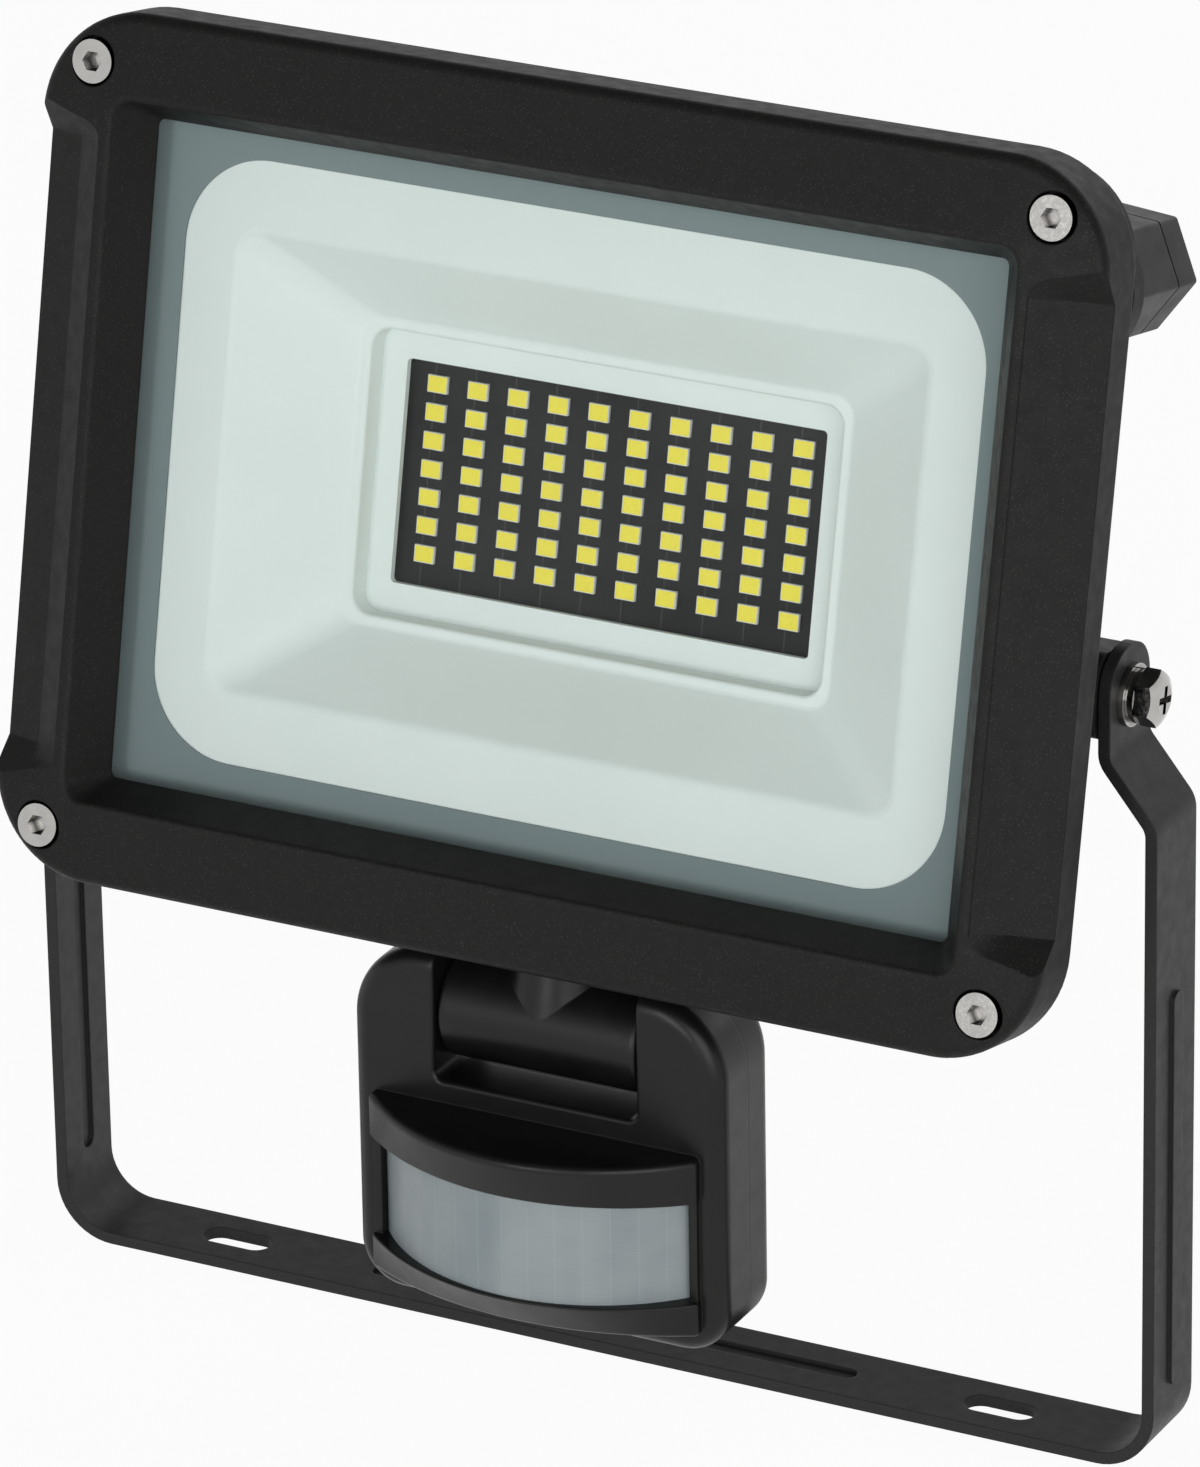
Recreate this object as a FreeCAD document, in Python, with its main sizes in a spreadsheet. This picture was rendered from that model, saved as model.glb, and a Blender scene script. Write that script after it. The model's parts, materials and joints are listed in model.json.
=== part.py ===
import FreeCAD, Part
import math
import os
import re
import Sketcher

# Motion sensor floodlight on a U-shaped steel bracket.
# Millimetres, +Z up, +X to the right of someone facing the lamp, the lamp shines towards -Y.
# The origin is the centre of the bracket's underside, where it meets the wall or ceiling.

doc = FreeCAD.newDocument("floodlight")
sheet = doc.addObject("Spreadsheet::Sheet", "Dimensions")

SIZES = [
    # bracket
    ("strap_width", 14.5, "width of the steel strap"),
    ("strap_thickness", 2.0, "thickness of the strap"),
    ("jog_reach", 8.0, "how far the arms jog outward below the ears"),
    ("ear_gap", 0.5, "gap between the flange and an ear"),
    ("pivot_height", 129.3, "pivot axis above the underside"),
    ("ear_reach", 8.0, "top of an ear above the pivot axis"),
    ("ear_corner", 6.6, "corner radius of an ear"),
    ("jog_top", 8.5, "upper end of the outward jog, below the axis"),
    ("jog_bottom", 18.5, "lower end of the outward jog, below the axis"),
    ("jog_bend", 3.0, "inner bend radius at the jog"),
    ("base_bend", 8.0, "inner bend radius at the base"),
    ("slot_spacing", 139.0, "distance between the mounting slots"),
    ("slot_length", 12.5, "length of a mounting slot"),
    ("slot_width", 5.5, "width of a mounting slot"),
    ("bead_width", 3.4, "width of the stiffening beads"),
    ("bead_depth", 0.6, "depth of the stiffening beads"),
    ("base_bead_length", 88.0, "length of the bead in the base"),
    ("arm_bead_low", 13.0, "lower end of an arm's bead above the underside"),
    ("arm_bead_high", 81.0, "upper end of an arm's bead above the underside"),
    # head
    ("head_tilt", 12.2, "degrees that the head leans back at rest"),
    ("head_reach", 27.5, "pivot axis to the foremost ridge of the frame"),
    ("head_rise", 14.1, "centre of the frame above the pivot axis"),
    ("frame_corner", 17.5, "corner radius of the front frame"),
    ("frame_depth", 13.4, "depth of the front frame"),
    ("face_width", 12.6, "width of the sloping face around the ridge"),
    ("face_fall", 1.7, "how far the sloping face falls back"),
    ("frame_edge", 2.0, "rounding of the frame's outer edge"),
    ("frame_rear_edge", 1.0, "rounding of the frame's rear edge"),
    ("ridge_land", 1.0, "flat width of the ridge"),
    ("bevel_side", 4.75, "width of the bevel from the ridge to the glass, at the sides"),
    ("bevel_top", 3.3, "width of the bevel from the ridge to the glass, above and below"),
    ("ridge_corner", 4.0, "corner radius inside the ridge"),
    ("ridge_round", 0.8, "rounding of the ridge"),
    ("opening_width", 147.3, "width of the visible glass"),
    ("opening_height", 106.2, "height of the visible glass"),
    ("opening_corner", 1.2, "corner radius of the visible glass"),
    ("glass_depth", 7.4, "ridge to the glass"),
    ("bay_inset", 0.9, "inner edge of a side bay from the ridge"),
    ("bay_slope", 4.9, "width of a side bay's steep part"),
    ("bay_fall", 3.7, "depth of a side bay at its bend line"),
    ("bay_edge_fall", 6.2, "depth of a side bay at the outer edge"),
    ("bay_end", 21.0, "full depth of a side bay from the frame's end"),
    ("bay_run", 8.0, "length of the slope at each end of a bay"),
    ("glass_thickness", 4.0, "thickness of the front glass"),
    ("glass_bearing", 3.1, "how far the glass reaches behind the frame"),
    ("print_thickness", 0.2, "thickness of the printed border"),
    ("window_width", 139.4, "width of the clear window"),
    ("window_height", 97.0, "height of the clear window"),
    ("window_corner", 14.5, "corner radius of the clear window"),
    ("fit_gap", 0.3, "clearance between fitted casings"),
    # housing
    ("flange_side", 3.1, "step from the frame's side to the flange"),
    ("flange_top", 2.5, "step from the frame's upper and lower edge to the flange"),
    ("flange_corner", 14.0, "corner radius of the flange"),
    ("flange_thickness", 6.0, "thickness of the flange"),
    ("shell_side", 4.9, "step from the flange's side to the shell"),
    ("shell_top", 3.5, "step from the flange's upper and lower edge to the shell"),
    ("draft_side", 4.0, "taper of the shell's sides"),
    ("draft_top", 3.0, "taper of the shell's top and bottom"),
    ("shell_corner", 11.0, "corner radius of the housing"),
    ("cavity_depth", 31.2, "ridge to the floor of the housing"),
    ("floor_thickness", 3.8, "thickness of the housing's floor"),
    ("fin_height", 8.0, "height of the cooling fins"),
    ("fin_thickness", 2.0, "thickness of a cooling fin"),
    ("fin_end", 7.0, "end of a fin from the back's edge"),
    ("fin_count", 18, "number of cooling fins"),
    ("fin_side", 12.0, "outermost fin from the back's edge"),
    ("boss_height", 13.6, "height of a pivot boss"),
    ("boss_depth", 15.0, "depth of a pivot boss"),
    ("boss_round", 3.0, "rounding of a pivot boss"),
    # reflector and light source
    ("rim_width", 120.6, "width of the reflector's mouth"),
    ("rim_height", 74.0, "height of the reflector's mouth"),
    ("foot_width", 86.2, "width of the reflector's foot"),
    ("foot_height", 49.6, "height of the reflector's foot"),
    ("foot_depth", 23.0, "ridge to the reflector's foot"),
    ("tray_inset", 1.8, "step between the foot and the tray around the board"),
    ("tray_depth", 27.3, "ridge to the tray around the board"),
    ("mouth_corner", 4.0, "corner radius of the reflector's mouth"),
    ("mouth_round", 2.4, "rounding of the edge around the reflector's mouth"),
    ("foot_corner", 3.5, "corner radius of the reflector's foot"),
    ("foot_round", 1.2, "rounding between the reflector's slope and its foot"),
    ("tray_corner", 3.2, "corner radius of the tray around the board"),
    ("tray_round", 0.6, "rounding of the edge around the tray"),
    ("port_corner", 0.8, "corner radius of the port over the board"),
    ("port_width", 73.8, "width of the port over the board"),
    ("port_height", 36.2, "height of the port over the board"),
    ("reflector_wall", 1.2, "wall of the reflector"),
    ("board_side", 6.5, "light board beyond the reflector's tray, at the sides"),
    ("board_top", 2.8, "light board beyond the reflector's tray, above and below"),
    ("board_thickness", 1.5, "thickness of the light board"),
    ("board_margin", 3.0, "screw axes from the edges of the light board"),
    ("diode_pitch_x", 7.16, "spacing of the diodes across"),
    ("diode_pitch_z", 4.57, "spacing of the diodes up"),
    ("diode_columns", 10, "number of diode columns"),
    ("diode_rows", 7, "number of diode rows"),
    ("diode_rise", 0.6, "how far the diodes sit above the board's middle"),
    ("diode_width", 3.5, "width of a diode package"),
    ("diode_height", 2.8, "height of a diode package"),
    ("diode_thickness", 0.7, "thickness of a diode package"),
    ("phosphor_width", 3.2, "width of a diode's phosphor"),
    ("phosphor_height", 2.5, "height of a diode's phosphor"),
    ("phosphor_depth", 0.25, "depth of a diode's phosphor"),
    ("inner_gap", 1.3, "gap beside the boards in the housing"),
    ("driver_height", 84.0, "height of the driver board"),
    ("driver_margin", 4.0, "post axes from the ends of the driver board"),
    ("driver_standoff", 3.0, "height of the driver board's posts"),
    # screws
    ("screw_side", 9.3, "frame screw axis from the frame's side"),
    ("screw_top", 8.5, "frame screw axis from the frame's upper or lower edge"),
    ("screw_radius", 2.0, "radius of a frame screw"),
    ("screw_head_radius", 3.5, "radius of a frame screw's head"),
    ("screw_head_height", 4.0, "height of a frame screw's head"),
    ("screw_head_depth", 0.6, "ridge to the face of a screw head"),
    ("screw_socket", 3.0, "width across the flats of a screw's socket"),
    ("counterbore_radius", 4.0, "radius of a counterbore"),
    ("pivot_screw_radius", 2.5, "radius of a pivot screw"),
    ("pivot_screw_length", 14.0, "length of a pivot screw below its head"),
    ("hex_flats", 8.0, "width across the flats of a pivot screw's head"),
    ("hex_height", 3.6, "height of a pivot screw's head"),
    ("washer_radius", 5.0, "outer radius of a flat washer"),
    ("washer_thickness", 1.0, "thickness of a flat washer"),
    ("spring_radius", 4.3, "outer radius of a spring washer"),
    ("spring_thickness", 1.3, "thickness of a spring washer"),
    ("turn_gap", 0.06, "radial clearance of a part that turns"),
    # cable gland
    ("gland_side", 9.5, "gland axis from the side of the housing's back"),
    ("gland_top", 15.9, "gland axis from the top of the housing's back"),
    ("gland_flats", 18.2, "width across the flats of the gland"),
    ("gland_turn", 5.0, "degrees that the gland's flats are turned"),
    ("gland_boss", 3.0, "height of the boss under the gland"),
    ("gland_length", 17.9, "length of the gland's body"),
    ("gland_split", 0.4, "gap between the gland's body and nut"),
    ("gland_nut_length", 7.4, "length of the gland's nut"),
    ("gland_thread", 6.0, "radius of the gland's thread"),
    ("gland_bore", 3.0, "radius of the gland's bore"),
    # neck
    ("neck_depth", 26.5, "ridge to the neck's axis"),
    ("neck_length", 15.0, "hinge axis below the housing's flange"),
    ("neck_radius", 8.9, "radius of the neck"),
    ("neck_boss_radius", 9.6, "radius of the boss that the neck turns under"),
    ("barrel_radius", 9.0, "radius of the hinge barrel"),
    ("barrel_length", 35.4, "length of the hinge barrel"),
    ("barrel_edge", 1.0, "rounding of the hinge barrel's ends"),
    ("spigot_radius", 3.4, "radius of the neck's spigot"),
    ("clip_radius", 4.3, "radius of the retaining clip"),
    ("clip_thickness", 1.0, "thickness of the retaining clip"),
    ("pin_radius", 2.0, "radius of the hinge pin"),
    ("wire_radius", 1.6, "radius of the wire way"),
    # sensor
    ("sensor_lean", 12.2, "degrees that the sensor leans forward from the head"),
    ("cheek_width", 15.0, "width of a cheek beside the hinge recess"),
    ("sensor_top", 11.3, "top of the sensor above the hinge axis"),
    ("sensor_bottom", 49.5, "bottom of the sensor below the hinge axis"),
    ("cover_front", 9.4, "front of the sensor before the seam"),
    ("cover_back", 8.3, "back of the sensor behind the seam"),
    ("cover_wall", 1.8, "wall of the sensor's covers"),
    ("cover_top_corner", 13.4, "radius of the sensor's upper corners"),
    ("cover_bottom_corner", 8.0, "radius of the sensor's lower corners"),
    ("cover_edge", 3.0, "rounding of the sensor's front and back edges"),
    ("barrel_gap", 0.3, "gap between the barrel and each cheek"),
    ("recess_drop", 10.5, "floor of the hinge recess below the hinge axis"),
    ("recess_corner", 1.6, "rounding of the recess's lower corners"),
    ("recess_edge", 0.7, "rounding of the recess's edge on the front cover"),
    ("lens_chord", 55.0, "width of the lens at its foot"),
    ("lens_bulge", 12.9, "how far the lens bulges forward from its foot"),
    ("lens_top", 21.8, "top of the visible lens below the hinge axis"),
    ("lens_bottom", 39.3, "bottom of the visible lens below the hinge axis"),
    ("lens_wall", 0.9, "wall of the lens"),
    ("lens_foot", 0.9, "depth of the lens's foot in the front wall"),
    ("lens_gap", 0.05, "clearance of the lens in its seats"),
    ("lens_seat", 0.8, "depth of the seats above and below the lens"),
    ("hood_top", 14.2, "top of the hood below the hinge axis"),
    ("hood_chord", 58.4, "width of the hood"),
    ("hood_reach", 14.8, "reach of the hood's upper edge"),
    ("hood_lip", 12.3, "reach of the hood's lower edge"),
    ("chin_reach", 13.0, "reach of the chin's upper edge"),
    ("chin_lip", 8.6, "reach of the chin's lower edge"),
    ("chin_bottom", 45.2, "bottom of the chin below the hinge axis"),
    ("hood_stand", 1.5, "how far the ends of the hood and the chin stand out from the cover"),
    ("hood_root", 1.0, "how far the hood and the chin reach into the cover's front wall"),
    ("hood_end", 0.6, "rounding of the ends of the hood and the chin"),
    ("hood_edge", 1.1, "rounding of the hood's upper edge"),
    ("chin_edge", 0.8, "rounding of the chin's lower edge"),
    ("lens_edge", 0.25, "rounding of the hood's and chin's edges at the lens"),
    ("post_radius", 2.8, "radius of a screw post in the sensor"),
    ("post_x", 26.6, "screw posts from the sensor's middle"),
    ("post_upper", 4.5, "upper screw posts above the hinge axis"),
    ("post_lower", 43.6, "lower screw posts below the hinge axis"),
    ("tapping_radius", 1.25, "radius of a sensor screw"),
    ("tapping_head", 2.4, "radius of a sensor screw's head"),
    ("tapping_seat", 3.0, "depth of a sensor screw's seat from the back"),
    ("circuit_width", 48.0, "width of the sensor's board"),
    ("circuit_top", 14.6, "top of the sensor's board below the hinge axis"),
    ("circuit_bottom", 41.8, "bottom of the sensor's board below the hinge axis"),
    ("circuit_place", 1.0, "front of the sensor's board behind the seam"),
    ("circuit_thickness", 1.6, "thickness of the sensor's board"),
    ("pyro_radius", 4.6, "radius of the motion detector"),
    ("pyro_length", 4.2, "length of the motion detector"),
    ("knob_radius", 2.8, "radius of an adjusting knob"),
    ("knob_pitch", 15.0, "spacing of the adjusting knobs"),
    ("knob_place", 3.35, "knob axis behind the seam"),
    ("knob_proud", 1.0, "how far a knob stands out"),
]

for row, (alias, number, note) in enumerate(SIZES, start=1):
    sheet.set("A%d" % row, note)
    sheet.set("B%d" % row, str(number))
    sheet.setAlias("B%d" % row, alias)
doc.recompute()

# Sizes that follow from the ones above.
FOLLOWING = {
    "ridge_width": "opening_width + 2 * bevel_side",
    "ridge_height": "opening_height + 2 * bevel_top",
    "frame_width": "ridge_width + 2 * (ridge_land + face_width)",
    "frame_height": "ridge_height + 2 * (ridge_land + face_width)",
    "flange_width": "frame_width - 2 * flange_side",
    "flange_height": "frame_height - 2 * flange_top",
    "shell_width": "flange_width - 2 * shell_side",
    "shell_height": "flange_height - 2 * shell_top",
    "back_width": "shell_width - 2 * draft_side",
    "back_height": "shell_height - 2 * draft_top",
    "fin_length": "back_height - 2 * fin_end",
    "fin_spread": "back_width - 2 * fin_side",
    "bay_inner": "ridge_width / 2 + ridge_land + bay_inset",
    "bay_line": "bay_inner + bay_slope",
    "bay_length": "frame_height - 2 * bay_end",
    "screw_spacing_x": "frame_width - 2 * screw_side",
    "screw_spacing_z": "frame_height - 2 * screw_top",
    "ear_span": "flange_width + 2 * (ear_gap + strap_thickness)",
    "bracket_span": "ear_span + 2 * jog_reach",
    "board_width": "foot_width + 2 * (reflector_wall - tray_inset + board_side)",
    "board_height": "foot_height + 2 * (reflector_wall - tray_inset + board_top)",
    "driver_width": "(opening_width - board_width) / 2 - 2 * inner_gap",
    "driver_place": "(opening_width + board_width) / 4",
    "gland_x": "back_width / 2 - gland_side",
    "gland_z": "back_height / 2 - gland_top",
    "neck_drop": "flange_height / 2 + neck_length",
    "recess_width": "barrel_length + 2 * barrel_gap",
    "sensor_width": "recess_width + 2 * cheek_width",
}

ALIASES = {entry[0] for entry in SIZES}
X = FreeCAD.Vector(1, 0, 0)
Y = FreeCAD.Vector(0, 1, 0)
Z = FreeCAD.Vector(0, 0, 1)
TURN = {"X": FreeCAD.Rotation(Y, 90), "Y": FreeCAD.Rotation(X, -90), "Z": FreeCAD.Rotation()}
pieces = []


NAME = re.compile(r"[a-z_]{3,}")


def spelled(text):
    """The text of a size in which every size that follows from others is written out."""
    return NAME.sub(lambda found: "(%s)" % spelled(FOLLOWING[found.group()])
                    if found.group() in FOLLOWING else found.group(), text)


def value(text):
    """The number that the text of a size stands for now."""
    return float(sheet.evalExpression(spelled(text)))


def tie(thing, name, text):
    """Binds a property to the text of a size, in which each name points at its cell."""
    bound = NAME.sub(lambda found: "Dimensions." + found.group()
                     if found.group() in ALIASES else found.group(), spelled(text))
    thing.setExpression(name, bound)


def negative(text):
    return "-(" + text + ")"


# Sketches and features

def body(label):
    made = doc.addObject("PartDesign::Body", label)
    made.Label = label
    return made


def sketch(owner, name, role, place):
    """A sketch on one of the body's own planes, moved along that plane's normal."""
    drawn = owner.newObject("Sketcher::SketchObject", name)
    plane = [item for item in owner.Origin.OriginFeatures if item.Role == role][0]
    drawn.AttachmentSupport = [(plane, "")]
    drawn.MapMode = "FlatFace"
    tie(drawn, "AttachmentOffset.Base.z", place)
    return drawn


def fix(drawn, kind, geometry, point, text):
    """Holds one coordinate of a point of the sketch at a size."""
    number = value(text)
    if abs(number) < 1e-9 and re.fullmatch(r"[0.\s]+", text):
        axis = -2 if kind == "DistanceX" else -1
        drawn.addConstraint(Sketcher.Constraint("PointOnObject", geometry, point, axis))
        return
    index = drawn.addConstraint(Sketcher.Constraint(kind, -1, 1, geometry, point, number))
    tie(drawn, "Constraints[%d]" % index, text)


def polygon(drawn, corners):
    points = [FreeCAD.Vector(value(a), value(b), 0) for a, b in corners]
    first = drawn.GeometryCount
    count = len(points)
    for i in range(count):
        drawn.addGeometry(Part.LineSegment(points[i], points[(i + 1) % count]), False)
    for i in range(count):
        drawn.addConstraint(Sketcher.Constraint("Coincident", first + i, 2, first + (i + 1) % count, 1))
    for i, (a, b) in enumerate(corners):
        fix(drawn, "DistanceX", first + i, 1, a)
        fix(drawn, "DistanceY", first + i, 1, b)


def rectangle(drawn, left, right, low, high):
    polygon(drawn, [(left, low), (right, low), (right, high), (left, high)])


def rounded(drawn, middle_x, middle_y, width, height, radius):
    """A rectangle with round corners."""
    cx, cy, r = value(middle_x), value(middle_y), value(radius)
    a, b = value(width) / 2, value(height) / 2
    first = drawn.GeometryCount
    turns = [(1, -1, 270), (1, 1, 0), (-1, 1, 90), (-1, -1, 180)]
    ends = []
    for sx, sy, start in turns:
        centre = FreeCAD.Vector(cx + sx * (a - r), cy + sy * (b - r), 0)
        circle = Part.Circle(centre, Z, r)
        arc = Part.ArcOfCircle(circle, math.radians(start), math.radians(start + 90))
        drawn.addGeometry(arc, False)
        ends.append((arc.StartPoint, arc.EndPoint))
    for i in range(4):
        drawn.addGeometry(Part.LineSegment(ends[i][1], ends[(i + 1) % 4][0]), False)
    for i in range(4):
        line = first + 4 + i
        drawn.addConstraint(Sketcher.Constraint("Tangent", first + i, 2, line, 1))
        drawn.addConstraint(Sketcher.Constraint("Tangent", line, 2, first + (i + 1) % 4, 1))
        drawn.addConstraint(Sketcher.Constraint("Vertical" if i % 2 == 0 else "Horizontal", line))
    for i in range(1, 4):
        drawn.addConstraint(Sketcher.Constraint("Equal", first, first + i))
    index = drawn.addConstraint(Sketcher.Constraint("Radius", first, r))
    tie(drawn, "Constraints[%d]" % index, radius)
    fix(drawn, "DistanceX", first + 4, 1, "(%s) + (%s) / 2" % (middle_x, width))
    fix(drawn, "DistanceX", first + 6, 1, "(%s) - (%s) / 2" % (middle_x, width))
    fix(drawn, "DistanceY", first + 5, 1, "(%s) + (%s) / 2" % (middle_y, height))
    fix(drawn, "DistanceY", first + 7, 1, "(%s) - (%s) / 2" % (middle_y, height))


def circle(drawn, middle_x, middle_y, radius):
    centre = FreeCAD.Vector(value(middle_x), value(middle_y), 0)
    made = drawn.addGeometry(Part.Circle(centre, Z, value(radius)), False)
    index = drawn.addConstraint(Sketcher.Constraint("Radius", made, value(radius)))
    tie(drawn, "Constraints[%d]" % index, radius)
    fix(drawn, "DistanceX", made, 3, middle_x)
    fix(drawn, "DistanceY", made, 3, middle_y)


def slot(drawn, middle_x, middle_y, length, width, upright=False):
    """A slot with round ends, along the sketch's first axis or, upright, along its second."""
    r = value(width) / 2
    reach = "((%s) - (%s)) / 2" % (length, width)
    along = value(reach)
    turn = 90 if upright else 0
    cx, cy = value(middle_x), value(middle_y)
    first = drawn.GeometryCount
    arcs = []
    for side, start in ((1, -90), (-1, 90)):
        centre = FreeCAD.Vector(cx + (0 if upright else side * along), cy + (side * along if upright else 0), 0)
        arc = Part.ArcOfCircle(Part.Circle(centre, Z, r), math.radians(start + turn), math.radians(start + 180 + turn))
        drawn.addGeometry(arc, False)
        arcs.append(arc)
    drawn.addGeometry(Part.LineSegment(arcs[0].EndPoint, arcs[1].StartPoint), False)
    drawn.addGeometry(Part.LineSegment(arcs[1].EndPoint, arcs[0].StartPoint), False)
    drawn.addConstraint(Sketcher.Constraint("Tangent", first, 2, first + 2, 1))
    drawn.addConstraint(Sketcher.Constraint("Tangent", first + 2, 2, first + 1, 1))
    drawn.addConstraint(Sketcher.Constraint("Tangent", first + 1, 2, first + 3, 1))
    drawn.addConstraint(Sketcher.Constraint("Tangent", first + 3, 2, first, 1))
    index = drawn.addConstraint(Sketcher.Constraint("Radius", first, r))
    tie(drawn, "Constraints[%d]" % index, "(%s) / 2" % width)
    for arc, sign in ((first, "+"), (first + 1, "-")):
        moved = "(%s) %s %s"
        fix(drawn, "DistanceX", arc, 3, middle_x if upright else moved % (middle_x, sign, reach))
        if upright or sign == "+":
            fix(drawn, "DistanceY", arc, 3, moved % (middle_y, sign, reach) if upright else middle_y)


def bulge(drawn, chord, rise, base, stand="0"):
    """A circular segment that stands on the line y = base, or on straight sides there, and bulges towards -y."""
    c, s, y = value(chord) / 2, value(rise), value(base)
    r = (c * c + s * s) / (2 * s)
    first = drawn.GeometryCount
    middle = FreeCAD.Vector(0, y - s + r, 0)
    half = math.asin(c / r) if s <= r else math.pi - math.asin(c / r)
    arc = Part.ArcOfCircle(Part.Circle(middle, Z, r), 1.5 * math.pi - half, 1.5 * math.pi + half)
    drawn.addGeometry(arc, False)
    path = [arc.EndPoint, arc.StartPoint]
    if stand != "0":
        foot = value("(%s) + (%s)" % (base, stand))
        path[1:1] = [FreeCAD.Vector(c, foot, 0), FreeCAD.Vector(-c, foot, 0)]
    for a, b in zip(path, path[1:]):
        drawn.addGeometry(Part.LineSegment(a, b), False)
    last = first + len(path) - 1
    for i in range(first, last):
        drawn.addConstraint(Sketcher.Constraint("Coincident", i, 2, i + 1, 1))
    drawn.addConstraint(Sketcher.Constraint("Coincident", last, 2, first, 1))
    fix(drawn, "DistanceX", first, 1, "-(%s) / 2" % chord)
    fix(drawn, "DistanceX", first, 2, "(%s) / 2" % chord)
    fix(drawn, "DistanceY", first, 1, base)
    fix(drawn, "DistanceY", first, 2, base)
    if stand != "0":
        drawn.addConstraint(Sketcher.Constraint("Vertical", first + 1))
        drawn.addConstraint(Sketcher.Constraint("Vertical", first + 3))
        fix(drawn, "DistanceY", first + 1, 2, "(%s) + (%s)" % (base, stand))
        fix(drawn, "DistanceY", first + 3, 1, "(%s) + (%s)" % (base, stand))
    index = drawn.addConstraint(Sketcher.Constraint("Radius", first, r))
    tie(drawn, "Constraints[%d]" % index, "((%s)^2 / 4 + (%s)^2) / (2 * (%s))" % (chord, rise, rise))


def extrude(owner, kind, name, role, low, high, draw):
    """A pad or pocket between two places along the plane's normal."""
    drawn = sketch(owner, name + "_sketch", role, "((%s) + (%s)) / 2" % (low, high))
    draw(drawn)
    made = owner.newObject("PartDesign::" + kind, name)
    made.Profile = drawn
    made.Midplane = True
    tie(made, "Length", "(%s) - (%s)" % (high, low))
    doc.recompute()
    return made


def loft(owner, kind, name, role, sections):
    """A loft with straight sides through sketches at several places."""
    drawn = []
    for number, (place, draw) in enumerate(sections):
        one = sketch(owner, "%s_section_%d" % (name, number), role, place)
        draw(one)
        drawn.append(one)
    doc.recompute()
    made = owner.newObject("PartDesign::" + kind, name)
    made.Profile = drawn[0]
    made.Sections = drawn[1:]
    made.Ruled = True
    doc.recompute()
    return made


def soften(owner, kind, name, size, wanted):
    """Fillets or chamfers the edges of the body's tip that the test picks."""
    base = owner.Tip
    edges = ["Edge%d" % (i + 1) for i, edge in enumerate(base.Shape.Edges) if wanted(edge)]
    made = owner.newObject("PartDesign::" + kind, name)
    made.Base = (base, edges)
    tie(made, "Radius" if kind == "Fillet" else "Size", size)
    doc.recompute()
    return made


def mirror(owner, name, originals, role):
    made = owner.newObject("PartDesign::Mirrored", name)
    made.Originals = originals
    plane = [item for item in owner.Origin.OriginFeatures if item.Role == role][0]
    made.MirrorPlane = (plane, [""])
    owner.Tip = made
    doc.recompute()
    return made


def along(edge, axis):
    """Whether a straight edge runs along an axis."""
    if edge.Curve.TypeId != "Part::GeomLine":
        return False
    return abs(abs(edge.tangentAt(edge.FirstParameter).dot(axis)) - 1) < 1e-6


def lies(edge, **place):
    """Whether both ends and the middle of an edge lie at the given coordinates."""
    middle = edge.valueAt((edge.FirstParameter + edge.LastParameter) / 2)
    spots = [vertex.Point for vertex in edge.Vertexes] + [middle]
    return all(abs(getattr(spot, name) - number) < 0.02 for spot in spots for name, number in place.items())


# Primitives

def move(thing, x, y, z, axis="Z"):
    thing.Placement = FreeCAD.Placement(FreeCAD.Vector(), TURN[axis])
    tie(thing, "Placement.Base.x", x)
    tie(thing, "Placement.Base.y", y)
    tie(thing, "Placement.Base.z", z)
    return thing


def rod(name, radius, length, x, y, z, axis="Z"):
    made = doc.addObject("Part::Cylinder", name)
    tie(made, "Radius", radius)
    tie(made, "Height", length)
    return move(made, x, y, z, axis)


def block(name, width, depth, height, x, y, z):
    """A box whose x is its middle, and whose y and z are its low ends."""
    made = doc.addObject("Part::Box", name)
    tie(made, "Length", width)
    tie(made, "Width", depth)
    tie(made, "Height", height)
    return move(made, "(%s) - (%s) / 2" % (x, width), y, z)


def hexagon(name, flats, height, x, y, z, axis="Z"):
    made = doc.addObject("Part::Prism", name)
    made.Polygon = 6
    tie(made, "Circumradius", "(%s) / sqrt(3)" % flats)
    tie(made, "Height", height)
    return move(made, x, y, z, axis)


def cut(name, base, tool):
    made = doc.addObject("Part::Cut", name)
    made.Base = base
    made.Tool = tool
    return made


def fuse(name, parts):
    made = doc.addObject("Part::MultiFuse", name)
    made.Shapes = parts
    return made


def group(name, parts):
    made = doc.addObject("Part::Compound", name)
    made.Links = parts
    return made


# Where the bodies stand

def fixed(thing, label):
    """A piece that is drawn where it stands."""
    thing.Label = label
    pieces.append(thing)


def on_head(thing, label):
    """A piece of the lamp head, drawn upright around the pivot axis, then raised and leant back."""
    thing.Label = label
    thing.Placement = FreeCAD.Placement(FreeCAD.Vector(), FreeCAD.Rotation(-X, 1))
    tie(thing, "Placement.Rotation.Angle", "head_tilt * 1deg")
    tie(thing, "Placement.Base.z", "pivot_height")
    pieces.append(thing)


HINGE_Y = "(neck_depth - head_reach)"
HINGE_Z = "(head_rise - neck_drop)"


def on_sensor(thing, label):
    """A piece of the sensor, drawn upright around the hinge axis, then carried to the neck."""
    thing.Label = label
    thing.Placement = FreeCAD.Placement(FreeCAD.Vector(), FreeCAD.Rotation(-X, 1))
    tie(thing, "Placement.Rotation.Angle", "(head_tilt - sensor_lean) * 1deg")
    tie(thing, "Placement.Base.y", "%s * cos(head_tilt * 1deg) + %s * sin(head_tilt * 1deg)" % (HINGE_Y, HINGE_Z))
    tie(thing, "Placement.Base.z", "pivot_height - %s * sin(head_tilt * 1deg) + %s * cos(head_tilt * 1deg)" % (HINGE_Y, HINGE_Z))
    pieces.append(thing)


def deep(text):
    """Along the head's front normal: the place at a depth behind the ridge."""
    return "head_reach - (%s)" % text


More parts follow.
